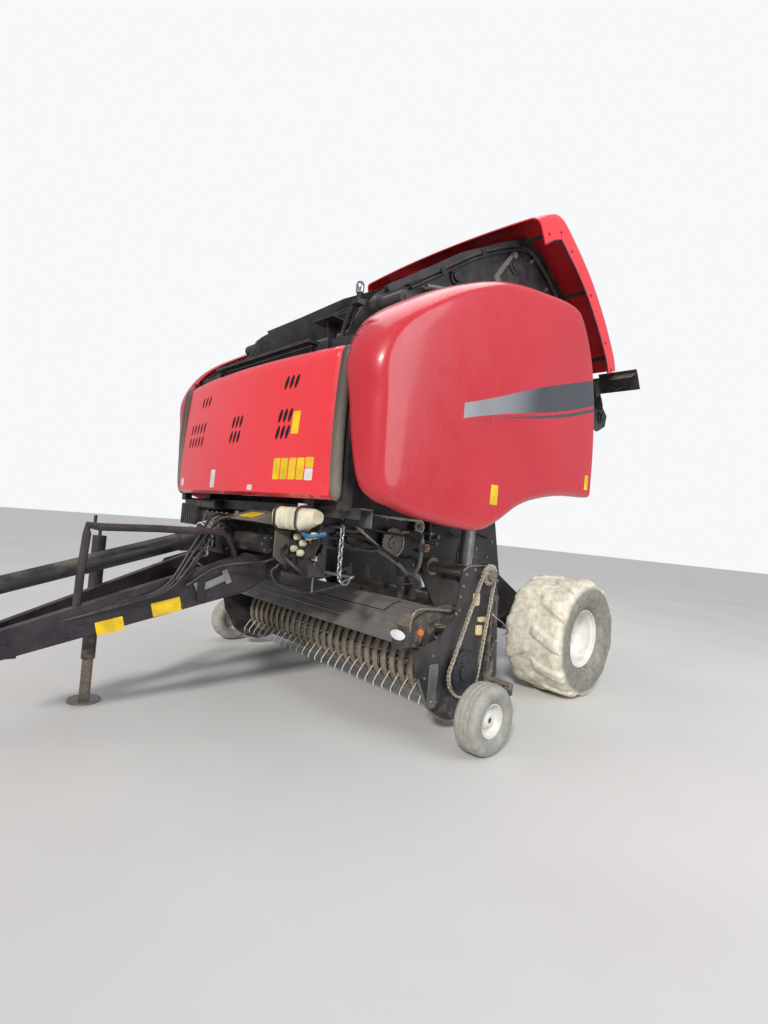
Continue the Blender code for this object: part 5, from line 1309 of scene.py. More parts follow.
def drive_yoke():
    """Splined yoke with its release button."""
    part = Solid().rod(on_drive(1.185), on_drive(1.262), 0.036, 32)
    part.rod(on_drive(1.205) + Vector(OUT) * 0.034, on_drive(1.205) + Vector(OUT) * 0.044, 0.012)
    for t in turns(12):
        side = (Vector(OUT) * cos(t) + DRIVE_AHEAD.cross(Vector(OUT)) * sin(t)) * 0.0355
        part.rod(on_drive(1.225) + side, on_drive(1.2615) + side, 0.0028, 6)
    return part


def gearbox_details():
    """Ribs, cover bolts and the filler plug of the gearbox."""
    part = Solid()
    for x in (-0.1, 0.0, 0.1):
        part.prism([(-2.4625, 0.95), (-2.4625, 1.15), (-2.478, 1.12), (-2.478, 0.98)], "X", x - 0.006, x + 0.006)
    for x in (-0.13, -0.065, 0.0, 0.065, 0.13):
        for y in (-2.44, -2.25):
            part.bolt((x, y, 1.17), UP, 0.008)
    for z in (0.96, 1.14):
        for y in (-2.43, -2.26):
            part.bolt((0.15, y, z), OUT, 0.009)
            part.bolt((-0.15, y, z), (-1.0, 0.0, 0.0), 0.009)
    part.bolts(0.48, circle(0.04, 6, (-2.35, 1.02)), 0.006)
    part.rod((0.08, -2.345, 1.168), (0.08, -2.345, 1.19), 0.016, 6)
    return part


def drawbar_details():
    """Bolted side plates, cross bolts and gussets of the drawbar."""
    part = Solid()
    for side in (-1.0, 1.0):
        for y, z in ((-2.3, 0.86), (-2.3, 0.79), (-2.42, 0.88), (-2.42, 0.76), (-2.5, 0.8), (-2.56, 0.7),
                     (-2.62, 0.78), (-2.7, 0.64), (-3.18, 0.56), (-3.24, 0.5), (-3.48, 0.48)):
            part.bolt((side * beam_face(y), y, z), (side, 0.0, 0.0), 0.01)
        plate = [(-2.24, 0.812), (-2.24, 0.948), (-2.36, 0.938), (-2.64, 0.858), (-2.7, 0.78), (-2.64, 0.67),
                 (-2.36, 0.73)]
        part.loft([[(side * (beam_face(y) + out), y, z) for y, z in plate] for out in (0.0, 0.007)])
    part.box((-0.09, -3.646, 0.415), (0.09, -3.64, 0.505))
    for x in (-0.06, 0.06):
        for z in (0.435, 0.485):
            part.bolt((x, -3.646, z), FRONT, 0.01)
    return part


def beam_face(y):
    """Outer face of a drawbar beam."""
    if y > -2.36:
        return 0.29 + 0.01 * (y + 2.36) / 0.15
    return 0.29 - 0.19 * (-2.36 - y) / 1.16


def hoses(routes, radius):
    part = Solid()
    for points in routes:
        part.pipe(points, radius, 12, 8)
        for end, after in ((points[0], points[1]), (points[-1], points[-2])):
            a, b = Vector(end), Vector(after)
            d = (b - a).normalized()
            part.rod(a - d * 0.004, a + d * 0.03, radius * 1.3, 12)
    return part


def lamp_post():
    """Bent stalk on the head beam with its folded bracket."""
    part = Solid()
    part.pipe([(0.745, -2.165, 2.18), (0.757, -2.165, 2.24), (0.8, -2.17, 2.315), (0.868, -2.175, 2.375),
               (0.884, -2.175, 2.422)], 0.013, 14, 6)
    part.pipe([(0.77, -2.15, 2.2), (0.81, -2.15, 2.28), (0.855, -2.165, 2.35)], 0.007, 10, 6)
    part.box((0.62, -2.198, 2.1805), (0.84, -2.132, 2.188))
    part.prism([(-2.24, 2.3), (-2.09, 2.3), (-2.09, 2.306), (-2.24, 2.306)], "X", 0.56, 0.745)
    part.prism([(-2.18, 2.186), (-2.14, 2.186), (-2.12, 2.302), (-2.2, 2.302)], "X", 0.64, 0.652)
    part.box((0.852, -2.2, 2.35), (0.906, -2.15, 2.378))
    for x in (0.64, 0.815):
        part.bolt((x, -2.165, 2.188), UP, 0.007)
    return part


# Chamber sides

def side_wheel(part, y, z, root, teeth, out):
    """Chain wheel on a bearing flange at the chamber's side."""
    part.disc("X", (y, z), root * 0.62, WALL - 0.002, WALL + out, 32)
    wheel_with_teeth(part, (y, z), root, root + 0.009, teeth, WALL + out, WALL + out + 0.006)
    part.disc("X", (y, z), root * 0.45, WALL + out, WALL + out + 0.016, 24, 0.003)
    part.rod((WALL + out + 0.014, y, z), (WALL + out + 0.026, y, z), 0.012, 6)


def side_drive():
    """Chain wheels, tensioner and its lever below a side shield."""
    part = Solid()
    side_wheel(part, -1.56, 1.075, 0.09, 26, 0.04)
    side_wheel(part, -1.84, 1.19, 0.048, 15, 0.04)
    side_wheel(part, -1.33, 1.19, 0.04, 12, 0.04)
    part.prism(strip([(-1.33, 1.19), (-1.24, 1.12), (-1.13, 1.13)], 0.026), "X", WALL, WALL + 0.01)
    part.rod((WALL, -1.13, 1.13), (WALL + 0.05, -1.13, 1.13), 0.014, 16)
    return part


def side_chain():
    part = Solid()
    x = WALL + 0.043
    path = arc((-1.56, 1.075), 0.094, -110.0, 45.0, 16) + arc((-1.33, 1.19), 0.044, -60.0, 110.0, 10)
    path += arc((-1.84, 1.19), 0.052, 80.0, 250.0, 12)
    places = [place for place, _ in even(path, 0.02, True)]
    for k, here in enumerate(places):
        part.disc("X", here, 0.0058, x - 0.006, x + 0.006, 8)
        link = strip([here, places[(k + 1) % len(places)]], 0.0105)
        link_plates(part, link, x, 0.006 + (0.0016 if k % 2 else 0.0), 0.0018)
    return part


def side_plates():
    """Folded brackets, guards and bearing housings bolted to the chamber's side."""
    part = Solid()
    for outline, start, end in (
            ([(-2.02, 1.06), (-1.93, 1.02), (-1.76, 1.01), (-1.69, 1.03), (-1.69, 1.046), (-1.76, 1.026),
              (-1.93, 1.036), (-2.01, 1.072)], 0.0, 0.09),
            ([(-1.96, 1.16), (-1.83, 1.16), (-1.78, 1.1), (-1.8, 1.04), (-1.9, 1.04), (-1.97, 1.08)],
             0.0, 0.012),
            ([(-1.47, 0.88), (-1.3, 0.85), (-1.3, 0.96), (-1.38, 1.0), (-1.47, 0.96)], 0.0, 0.008),
            ([(-1.23, 1.02), (-1.21, 1.02), (-1.21, 1.2), (-1.23, 1.24)], 0.0, 0.05),
            (strip([(-1.99, 1.17), (-1.76, 1.215), (-1.64, 1.19)], 0.022), 0.066, 0.072),
            ([(-0.86, 0.86), (-0.64, 0.86), (-0.6, 1.02), (-0.66, 1.14), (-0.8, 1.14), (-0.86, 1.02)],
             0.0, 0.008),
            ([(-1.45, 0.7), (-1.4, 0.7), (-1.438, 0.802), (-1.45, 0.802)], 0.0, 0.03),
            ([(-1.33, 0.7), (-1.28, 0.7), (-1.318, 0.802), (-1.33, 0.802)], 0.0, 0.03)):
        part.prism(outline, "X", WALL + start, WALL + end)
    for start, end, y0, y1, z0, z1 in (
            (0.0, 0.06, -1.98, -1.7, 1.225, 1.233), (0.054, 0.06, -1.98, -1.7, 1.18, 1.228),
            (0.0, 0.045, -1.3, -1.05, 1.02, 1.028), (0.0, 0.055, -0.56, -0.3, 0.82, 0.828),
            (0.0, 0.03, -1.46, -1.25, 0.8, 0.806)):
        part.box((WALL + start, y0, z0), (WALL + end, y1, z1))
    for y, z, radius, start, end, sides in (
            (-1.43, 0.9, 0.048, 0.0, 0.03, 28), (-1.9, 1.09, 0.036, 0.01, 0.032, 24),
            (-0.74, 1.0, 0.056, 0.0, 0.026, 28)):
        part.disc("X", (y, z), radius, WALL + start, WALL + end, sides, 0.004)
    return side_rods(part, ((-1.76, -1.76, 1.213, 0.0, 0.07, 0.009, 14),))


def side_rods(part, rows):
    """Round pins out from the wall or along it."""
    for y0, y1, z, start, end, radius, sides in rows:
        part.rod((WALL + start, y0, z), (WALL + end, y1, z), radius, sides)
    return part


def side_bright():
    """Zinc bolts, fittings, spring and thin pipes of the chamber's side."""
    part = Solid()
    for y, z in ((-1.92, 1.13), (-1.83, 1.13), (-1.94, 1.08), (-1.45, 0.95), (-1.32, 0.93), (-1.38, 0.87),
                 (-0.84, 0.89), (-0.64, 0.89), (-0.64, 1.06), (-0.82, 1.1), (-1.96, 1.2), (-1.72, 1.2),
                 (-1.27, 1.08), (-1.1, 1.08), (-0.5, 1.0), (-0.45, 1.12), (-1.99, 1.11), (-1.42, 0.85),
                 (-1.6, 1.225), (-1.48, 1.225)):
        part.bolt((WALL + 0.008, y, z), OUT, 0.009)
    part.bolts(WALL + 0.026, circle(0.04, 6, (-0.74, 1.0)), 0.006)
    part.spring((WALL + 0.03, -1.78, 1.11), (WALL + 0.03, -1.655, 1.02), 0.011, 16, 0.0026, 6, 0.03)
    return side_rods(part, (
        (-1.985, -1.88, 1.13, 0.03, 0.03, 0.012, 6), (-1.88, -1.85, 1.13, 0.03, 0.03, 0.008, 12),
        (-1.29, -1.24, 1.034, 0.02, 0.02, 0.009, 6), (-1.25, -1.25, 1.15, 0.0, 0.085, 0.009, 14)))


def side_lines():
    routes = (
        [(0.02, -2.03, 1.15), (0.046, -1.9, 1.165), (0.072, -1.7, 1.14), (0.074, -1.45, 1.12),
         (0.06, -1.25, 1.09), (0.02, -1.16, 1.08)],
        [(0.02, -2.03, 1.1), (0.06, -1.85, 1.1), (0.078, -1.7, 1.04), (0.06, -1.5, 0.97),
         (0.03, -1.36, 0.985)],
        [(0.02, -1.99, 1.03), (0.07, -1.86, 1.035), (0.08, -1.68, 1.035), (0.05, -1.48, 0.93),
         (0.02, -1.4, 0.88)],
        [(0.02, -1.19, 1.19), (0.045, -1.08, 1.2), (0.04, -0.93, 1.14), (0.035, -0.7, 1.18),
         (0.02, -0.52, 1.15)])
    return hoses([[(WALL + x, y, z) for x, y, z in route] for route in routes], 0.0075)


def collar(part, start, end, inner, outer, sides=40):
    """Ring round a slanting line."""
    a, b = Vector(start), Vector(end)
    ahead = (b - a).normalized()
    u = ahead.cross(Vector(OUT)).normalized()
    v = ahead.cross(u)
    outs = [u * cos(t) + v * sin(t) for t in turns(sides)]
    return part.loft([[a + n * inner, a + n * outer, b + n * outer, b + n * inner] for n in outs], True)


def make_sides():
    both_sides(side_drive(), "side_drive", STEEL, "chassis", bevel=0.0008)
    both_sides(side_chain(), "side_chain", CHAIN_STEEL, "chassis")
    both_sides(side_plates(), "side_brackets", BLACK_LOW, "chassis", bevel=0.0012)
    both_sides(side_bright(), "side_fasteners", TIN, "chassis", sharp=50.0)
    both_sides(side_lines(), "side_hoses", HOSE, "chassis", sharp=60.0)


# Tailgate

GATE_ROLLERS = [(0.62, 0.8), (0.22, 1.75), (-0.3, 2.42), (-1.05, 2.5)]


def gate_details():
    """Bolts, roller bearings and the belts' tension arms on a tailgate plate, closed."""
    part = Solid()
    face = GATE_FACE
    for middle in GATE_ROLLERS:
        part.disc("X", middle, 0.06, face, face + 0.014, 36, 0.003)
        part.disc("X", middle, 0.036, face + 0.013, face + 0.03, 32, 0.004)
        part.bolts(face + 0.014, circle(0.048, 4, middle, pi / 4), 0.007)
    part.bolts(face, ((-1.65, 2.48), (-1.3, 2.42), (-0.8, 2.2), (-0.5, 1.9), (-0.25, 1.5),
                      (0.05, 1.25), (0.3, 1.05), (0.54, 0.76), (-0.5, 2.5), (0.15, 2.1),
                      (0.3, 1.4)), 0.01)
    arm = strip(curve([(-1.56, 2.45), (-1.2, 2.33), (-0.86, 2.12), (-0.56, 1.8)], 5), 0.05)
    part.prism(arm, "X", face, face + 0.016)
    part.disc("X", (-0.56, 1.78), 0.052, face, face + 0.022, 32, 0.003)
    return part.lift()


def gate_brace():
    """Diagonal brace and hinge lugs near the top of a raised tailgate plate."""
    part = Solid()
    part.prism(strip([(-0.73, 3.08), (-0.52, 3.365)], 0.034), "X", 0.6725, 0.69)
    part.prism(strip([(-0.73, 3.08), (-0.88, 2.98)], 0.026), "X", 0.6725, 0.684)
    for y, z in ((-0.725, 3.088), (-0.528, 3.354)):
        part.disc("X", (y, z), 0.03, 0.6725, 0.7, 24, 0.003)
    return part


def gate_fittings():
    """Zinc fittings and pins beside the raised tailgate's lines."""
    part = Solid()
    for y, z in ((-0.378, 3.54), (-0.319, 3.381), (-0.082, 3.24), (-0.011, 3.096)):
        part.rod((0.672, y, z), (0.705, y, z), 0.015, 6)
        part.rod((0.7, y - 0.004, z - 0.002), (0.7, y + 0.03, z + 0.022), 0.01, 14)
    return part.bolts(0.69, ((-0.725, 3.088), (-0.528, 3.354), (-0.6, 3.256)), 0.008)


def gate_spring():
    """Tension spring along the tailgate plate, closed."""
    return Solid().spring((0.712, -1.42, 2.51), (0.712, -0.9, 2.33), 0.017, 34, 0.004, 7, 0.045).lift()


def cross_details():
    """Stiffeners, bolts and diagonal braces of the cross plate, closed."""
    part = Solid()
    for x in (-0.5, -0.25, 0.0, 0.25, 0.5):
        part.prism([(-0.012, 2.27), (-0.012, 2.57), (-0.044, 2.56), (-0.02, 2.27)], "X", x - 0.004, x + 0.004)
    for side in (-1.0, 1.0):
        part.along([(side * 0.61, -0.02, 2.27), (side * 0.43, -0.02, 2.56)], rounded(0.03, 0.02, 0.004, 2))
    for i in range(12):
        part.bolt((-0.605 + 0.11 * i, -0.03, 2.587), UP, 0.009)
    for i in range(6):
        part.bolt((-0.6 + 0.24 * i, -0.012, 2.33), FRONT, 0.009)
    return part.lift()


def belt_ribs(spots):
    """Cross ribs laid on a run of belts."""
    part = Solid()
    section = [(-0.0035, -0.002), (0.0035, -0.002), (0.0022, 0.0022), (-0.0022, 0.0022)]
    for x in (-0.385, 0.0, 0.385):
        for (y, z), _ in spots:
            part.along([(x - 0.172, y, z), (x + 0.172, y, z)], section)
    return part


def even(path, gap, closed=False):
    """Even places along a flat path with the normal there."""
    points = [Vector(p) for p in path] + ([Vector(path[0])] if closed else [])
    out, left = [], 0.0
    for a, b in zip(points, points[1:]):
        run = b - a
        while left < run.length:
            p = a + run.normalized() * left
            out.append(((p.x, p.y), (run.normalized().y, -run.normalized().x)))
            left += gap
        left -= run.length
    return out


def lamp_cluster():
    """Black housing of the rear lamp on its bracket, closed."""
    return Solid().pad("Y", (1.045, 1.155), 0.15, 0.11, 0.014, 4, 0.4945, 0.535).lift()


def bracket_plates():
    """Folded shelf of the rear lamp bracket with its slots, closed."""
    part = Solid()
    part.box((0.79, 0.4945, 1.226), (1.136, 0.4985, 1.262))
    part.box((0.8, 0.36, 1.09), (0.804, 0.482, 1.23))
    part.box((0.92, 0.38, 1.226), (1.13, 0.4945, 1.23))
    for x in (0.96, 1.04):
        part.box((x, 0.4, 1.2298), (x + 0.05, 0.408, 1.2325))
        part.box((x, 0.44, 1.2298), (x + 0.05, 0.448, 1.2325))
    for x in (0.83, 0.9, 1.11):
        part.bolt((x, 0.4985, 1.246), (0.0, 1.0, 0.0), 0.006)
    part.pipe([(0.81, 0.47, 1.15), (0.84, 0.44, 1.19), (0.9, 0.43, 1.16), (0.96, 0.45, 1.12),
               (1.0, 0.482, 1.13)], 0.005, 8, 8)
    return part.lift()


def lens(x, width):
    outline = rounded(width, 0.092, 0.01, 4)
    return Solid().loft([[(x + a * s, y, 1.155 + b * s) for a, b in outline]
                         for y, s in ((0.533, 1.0), (0.545, 1.0), (0.549, 0.92))]).lift()


# Making the pieces

def make_wheels():
    wheel = "main_wheel_*"
    both_sides(main_tyre(), "tyre", TYRE, wheel, ["main_tyre_*"], sharp=60.0)
    both_sides(main_rim(), "rim", WHITE, wheel, ["main_rim_*"])
    both_sides(main_hub(), "hub", WHITE, wheel)
    both_sides(gauge_tyre(), "small_tyre", GAUGE_TYRE, "gauge_wheel_*", ["gauge_tyre_*"], sharp=50.0)
    both_sides(gauge_rim(), "small_rim", WHITE, "gauge_wheel_*", ["gauge_rim_*"])


def make_covers():
    both_sides(shield(), "side_shield", RED_STRIPED_DARKENED, "shield_*", ["shield_*"], sharp=50.0)
    both_sides(shield_inside(), "shield_bows", BLACK, "shield_*", bevel=0.002)
    make(front_panel(), "panel_skin", RED, "front_panel", ["front_panel"], sharp=40.0, cutter=slot_cutters())
    # Black sheets in the slots, painted shade.
    make(slot_shade_sheets(), "slot_shade_sheets", SLOT_SHADE, "front_panel", sharp=60.0)
    # Dark plates behind the slots, painted shade.
    make(slot_shade_backing(), "slot_shade_plates", BLACK, "front_panel")
    both_sides(seal_strip(), "seal_tube", STRIP, "chassis", ["seal_strip_*"], sharp=60.0)
    both_sides(seal_carrier(), "seal_carrier", BLACK, "chassis", bevel=0.001)
    make(hood(), "hood_skin", RED, "tailgate", ["hood"], sharp=45.0)
    make(hood_trim(), "hood_trim", BLACK, "tailgate")
    yellow = [(x, 1.445, 0.059, 0.118) for x in (0.519, 0.588, 0.658, 0.727)]
    yellow += [(0.797, 1.478, 0.061, 0.056), (0.645, 1.7, 0.06, 0.126)]
    white = [(0.797, 1.415, 0.061, 0.062), (-0.236, 1.388, 0.062, 0.118), (0.262, 1.336, 0.052, 0.032),
             (-0.822, 1.368, 0.052, 0.052)]
    make(panel_labels(yellow), "panel_labels_yellow", YELLOW, "front_panel")
    make(panel_labels(white), "panel_labels_white", WHITE_LABEL, "front_panel")
    labels = Solid()
    for y, z, w, h, out in ((-1.289, 1.42, 0.07, 0.12, 0.0058), (-0.145, 1.625, 0.05, 0.108, 0.0026)):
        labels.pad("X", (y, z), w, h, 0.006, 2, SHIELD_X - 0.001, SHIELD_X + out)
    both_sides(labels, "shield_labels", YELLOW, "shield_*")


def panel_labels(rows):
    """Blank labels that follow the panel's face."""
    part = Solid()
    for x, z, width, height in rows:
        outline = [(x + a, z + b) for a, b in rounded(width, height, 0.005, 2)]
        part.loft([[(a, panel_y(a, b) - out, b) for a, b in outline] for out in (-0.0008, 0.0012)])
    return part


def make_pickup():
    make(reel_bars(), "reel_bars", STEEL, "reel", ["reel"])
    make(reel_tines(), "reel_tines", TINE_STEEL, "reel")
    make(reel_wheel(), "reel_chain_wheel", DISC, "reel")
    make(stripper_bands(), "stripper_bands", BAND_STEEL, "pickup", sharp=50.0)
    make(pickup_pan(), "pickup_pan", BLACK_LOW, "pickup", ["pickup_cross"])
    make(roller_chain(), "roller_chain", CHAIN_STEEL, "pickup")
    make(chain_wheel(), "upper_chain_wheel", CHAIN_STEEL, "pickup", ["chain_drive"])
    both_sides(plate_details(), "pickup_fasteners", STEEL, "pickup")
    both_sides(plate_cover(), "reel_bearing_plate", BLACK_LOW, "pickup", bevel=0.0015)
    both_sides(pale_cover(), "slotted_cover", TIN, "pickup", bevel=0.001)
    make(pale_guides(), "chain_guides", PALE, "pickup", bevel=0.002)
    cable = Solid().pipe([(1.146, -1.13, 0.7), (1.19, -1.12, 0.672), (1.215, -1.06, 0.63), (1.205, -0.99, 0.575),
                          (1.165, -1.0, 0.54), (1.146, -1.04, 0.5)], 0.004, 12, 8)
    make(cable, "pickup_cable", TIN, "pickup", sharp=60.0)


def make_guard():
    make(guard_sheet(), "guard_sheet", GUARD_STEEL, "wind_guard", ["wind_guard"], bevel=0.0012)
    make(guard_arms(), "guard_arms", BLACK_LOW, "wind_guard", bevel=0.002)
    part = Solid()
    for x in (-1.04, 1.04):
        oval(part, x, -1.8125, 0.585, 0.056, 0.028, 0.01)
    make(part, "guard_reflectors", REFLECTOR, "wind_guard", sharp=60.0)
    part = Solid()
    for side in (-1.0, 1.0):
        part.rod((side * 1.0955, -1.7, 0.6), (side * 1.112, -1.7, 0.6), 0.024, 28, 0.018)
    make(part, "guard_side_lights", ORANGE, "wind_guard", bevel=0.003)
    part = Solid()
    for side in (-1.0, 1.0):
        x = side * 1.112
        part.pipe([(side * 1.09, -1.78, 0.61), (x, -1.79, 0.7), (x, -1.74, 0.735), (x, -1.62, 0.73), (x, -1.48, 0.715),
                   (side * 1.096, -1.455, 0.712)], 0.009, 12, 6)
    make(part, "guard_handles", STEEL, "wind_guard", sharp=60.0)


def make_front():
    make(tank(), "tank_body", CREAM, "chassis", ["tank"], sharp=45.0)
    make(tank_straps(), "tank_straps", BLACK, "chassis", bevel=0.001)
    make(valve_block(), "valve_plate", BLACK, "chassis", ["valve_block"], bevel=0.0015)
    make(knob_plate(), "knob_plate", BLACK, "chassis", bevel=0.001)
    make(knobs(), "valve_knobs", CREAM, "chassis")
    make(drive_rear(), "drive_guard_rear", GUARD, "drive_line_rear", ["drive_line_rear"])
    make(drive_front(), "drive_guard_front", GUARD, "drive_line_front", ["drive_line_front"])
    make(drive_yoke(), "drive_yoke", STEEL, "drive_line_front", bevel=0.001)
    sleeve = bellows(Solid(), on_drive(-0.1), on_drive(-0.034), 0.074, 0.084, 4)
    make(sleeve, "drive_sleeve", GUARD, "chassis", sharp=60.0)
    rings = Solid()
    for s in (-0.092, -0.066, -0.042):
        rings.rod(on_drive(s - 0.003), on_drive(s + 0.003), 0.086, 40)
    make(rings, "sleeve_rings", WHITE_LABEL, "chassis", bevel=0.001)
    make(gearbox_details(), "gearbox_fasteners", STEEL, "chassis")
    make(drawbar_details(), "drawbar_plates", DRAWBAR, "chassis", bevel=0.0012)
    label = Solid()
    label.plate((0.33, -2.385, 1.1768), OUT, (0.0, 0.162, 0.055), 0.15, 0.085, 0.002)
    for y, z, w, h in ((-2.785, 0.64, 0.15, 0.075), (-3.05, 0.545, 0.13, 0.07)):
        label.plate((beam_face(y), y, z), (0.16, 1.0, 0.26), (0.0, -0.26, 1.0), w, h, 0.002)
    make(label, "drawbar_labels", YELLOW, "chassis")
    tin = Solid()
    for u, w, h in ((0.0, 0.15, 0.04), (-0.082, 0.034, 0.085), (0.082, 0.034, 0.085)):
        y = -2.555 + 0.9 * u
        tin.plate((beam_face(y) + 0.012, y, 0.775 + 0.44 * u), (0.16, 0.9, 0.44), (0.0, -0.44, 0.9), w, h, 0.004)
    tin.plate((0.38, -2.22, 1.15), OUT, UP, 0.09, 0.1, 0.012)
    tin.prism([(-2.1295, 1.262), (-2.045, 1.262), (-2.045, 1.16), (-2.052, 1.16), (-2.052, 1.255), (-2.1295, 1.255)],
              "X", 0.8, 1.0)
    make(tin, "tin_plates", TIN, "chassis", bevel=0.001)
    dark = hoses((
        [(0.33, -2.22, 1.01), (0.3, -2.33, 1.13), (0.2, -2.52, 1.13), (0.235, -2.64, 0.9), (0.262, -2.76, 0.79)],
        [(0.5, -2.275, 0.96), (0.47, -2.35, 0.92), (0.38, -2.42, 0.9), (0.3, -2.56, 0.86), (0.268, -2.7, 0.76)],
        [(0.55, -2.275, 1.015), (0.6, -2.33, 0.98), (0.7, -2.28, 0.9), (0.66, -2.13, 0.85), (0.645, -1.9, 0.9)],
        [(0.49, -2.275, 0.905), (0.48, -2.31, 0.86), (0.52, -2.28, 0.79), (0.6, -2.15, 0.76), (0.65, -1.95, 0.8)],
        [(0.15, -2.3, 1.1), (0.23, -2.28, 1.2), (0.33, -2.24, 1.18), (0.42, -2.222, 1.12)],
        [(-0.15, -2.3, 1.06), (-0.32, -2.33, 1.11), (-0.56, -2.26, 1.08), (-0.64, -2.222, 1.0)],
        [(-0.15, -2.4, 1.0), (-0.33, -2.45, 1.02), (-0.5, -2.33, 0.96), (-0.6, -2.222, 0.93)],
    ), 0.0095)
    make(dark, "front_hoses", HOSE, "chassis", sharp=60.0)
    bundle = hoses((
        [(0.15, -2.4, 1.08), (0.2, -2.52, 1.12), (0.245, -2.66, 0.96), (0.25, -2.8, 0.75), (0.19, -3.0, 0.66),
         (0.11, -3.33, 0.555)],
        [(0.15, -2.38, 1.04), (0.215, -2.5, 1.08), (0.262, -2.65, 0.93), (0.262, -2.79, 0.745), (0.205, -3.0, 0.655),
         (0.12, -3.32, 0.555)],
        [(0.15, -2.35, 1.12), (0.19, -2.54, 1.16), (0.232, -2.67, 0.985), (0.24, -2.81, 0.755), (0.178, -3.01, 0.665),
         (0.1, -3.34, 0.56)],
    ), 0.008)
    make(bundle, "drawbar_hoses", HOSE, "chassis", sharp=60.0)
    loops = Solid()
    for k in range(3):
        side = 0.03 + 0.012 * k
        loops.pipe([(0.15 + 0.01 * k, -2.47, 1.165), (0.158, -2.5 - side, 1.12), (0.185 - side, -2.56, 1.04),
                    (0.15 + side, -2.59, 0.985), (0.205 + side, -2.6, 0.93), (0.15 - side, -2.605, 0.89),
                    (0.235 + 0.008 * k, -2.6, 0.855)], 0.0042, 8, 10)
    make(loops, "looped_cables", HOSE_GREY, "chassis", sharp=60.0)
    blue = hoses(([(0.7, -2.262, 1.118), (0.74, -2.3, 1.1), (0.8, -2.29, 1.09), (0.85, -2.232, 1.11)],), 0.011)
    make(blue, "blue_hose", BLUE, "chassis", sharp=60.0)
    loop = Solid().pipe([(0.65, -1.78, 1.048), (0.664, -1.69, 1.03), (0.68, -1.52, 0.95), (0.705, -1.45, 0.89),
                         (0.755, -1.428, 0.89), (0.8, -1.43, 0.955), (0.805, -1.43, 1.075)], 0.013, 14, 8)
    loop.rod((0.632, -1.8, 1.05), (0.656, -1.77, 1.046), 0.017, 16)
    make(loop, "chamber_hose", HOSE_GREY, "chassis", sharp=60.0)
    fitting = Solid()
    fitting.rod((0.805, -1.43, 1.04), (0.805, -1.43, 1.092), 0.02, 6)
    fitting.rod((0.805, -1.43, 1.092), (0.805, -1.43, 1.11), 0.014, 16)
    fitting.pipe([(0.805, -1.43, 1.104), (0.795, -1.425, 1.137), (0.75, -1.42, 1.15), (0.632, -1.41, 1.15)],
                 0.01, 12, 6)
    fitting.box((0.828, -1.448, 1.035), (0.852, -1.414, 1.084))
    fitting.rod((0.632, -1.39, 1.13), (0.842, -1.43, 1.062), 0.008, 12)
    make(fitting, "chamber_pipe", TIN, "chassis")
    cap = Solid().rod((0.851, -1.431, 1.06), (0.868, -1.431, 1.06), 0.015, 20, 0.012)
    make(cap, "side_cap", ORANGE, "chassis", bevel=0.001)
    chain = Solid()
    chain_links(chain, [(0.862, -2.13, 1.15), (0.872, -2.138, 1.02), (0.884, -2.142, 0.89), (0.907, -2.13, 0.856),
                        (0.94, -2.11, 0.885)], 0.006)
    chain.rod((0.6, -2.12, 1.152), (0.872, -2.128, 1.152), 0.008, 12)
    chain.rod((0.6, -2.11, 0.892), (0.95, -2.108, 0.892), 0.008, 12)
    make(chain, "hanging_chain", TIN, "chassis", sharp=60.0)
    stay = Solid().rod((0.7, -2.18, 0.95), (0.66, -2.15, 0.77), 0.0055, 12)
    make(stay, "thin_stay", TIN, "chassis")
    block = Solid()
    block.box((0.68, -2.2, 0.945), (0.76, -2.15, 1.0))
    block.disc("Y", (0.765, 1.085), 0.038, -2.212, -2.19, 32, 0.003)
    block.box((0.735, -2.19, 0.99), (0.78, -2.17, 1.11))
    for x in (0.696, 0.72, 0.744):
        block.rod((x, -2.175, 1.0), (x, -2.175, 1.02), 0.01, 6)
    make(block, "hydraulic_block", BLACK, "chassis", bevel=0.002)
    make(Solid().box((0.686, -2.202, 0.955), (0.75, -2.1998, 0.985)), "block_label", WHITE_LABEL, "chassis")
    wires = hoses((
        [(0.696, -2.18, 1.018), (0.688, -2.22, 1.06), (0.7, -2.235, 1.1), (0.722, -2.215, 1.135)],
        [(0.72, -2.18, 1.018), (0.715, -2.225, 1.05), (0.728, -2.235, 1.085), (0.745, -2.215, 1.13)],
    ), 0.0038)
    make(wires, "amber_wires", ORANGE, "chassis", sharp=60.0)
    box = Solid()
    box.box((-0.975, -2.262, 1.06), (-0.7, -2.19, 1.215))
    for k in range(8):
        box.box((-0.965 + 0.034 * k, -2.268, 1.066), (-0.951 + 0.034 * k, -2.26, 1.209))
    box.box((-0.975, -2.24, 1.212), (-0.7, -2.215, 1.246))
    box.rod((-0.69, -2.235, 1.222), (-0.42, -2.235, 1.222), 0.034, 28)
    for x in (-0.64, -0.47):
        box.rod((x - 0.008, -2.235, 1.222), (x + 0.008, -2.235, 1.222), 0.037, 28)
        box.box((x - 0.008, -2.238, 1.222), (x + 0.008, -2.215, 1.262))
    make(box, "ribbed_box", BLACK, "chassis", bevel=0.0015)
    cover = Solid()
    cover.prism([(-2.462, 1.15), (-2.3, 1.205), (-2.23, 1.205), (-2.23, 1.197), (-2.3, 1.197), (-2.462, 1.142)],
                "X", 0.16, 0.5)
    for x in (0.494, 0.16):
        cover.prism([(-2.462, 1.142), (-2.23, 1.12), (-2.23, 1.2), (-2.3, 1.2)], "X", x, x + 0.006)
    cover.prism([(-2.33, 0.955), (-2.23, 0.88), (-2.23, 1.15), (-2.33, 1.1)], "X", 0.506, 0.514)
    make(cover, "shaft_cover", BAND_GREY, "chassis", bevel=0.0015)


def make_roof():
    make(lamp_post(), "lamp_stalk", BLACK, "chassis", sharp=60.0)
    outline = [(0.001, 2.412), (0.018, 2.412), (0.022, 2.418), (0.023, 2.457), (0.016, 2.472), (0.001, 2.475)]
    make(Solid().turned(outline, "Z", (0.884, -2.175), 32), "roof_lamp", CHROME, "chassis")


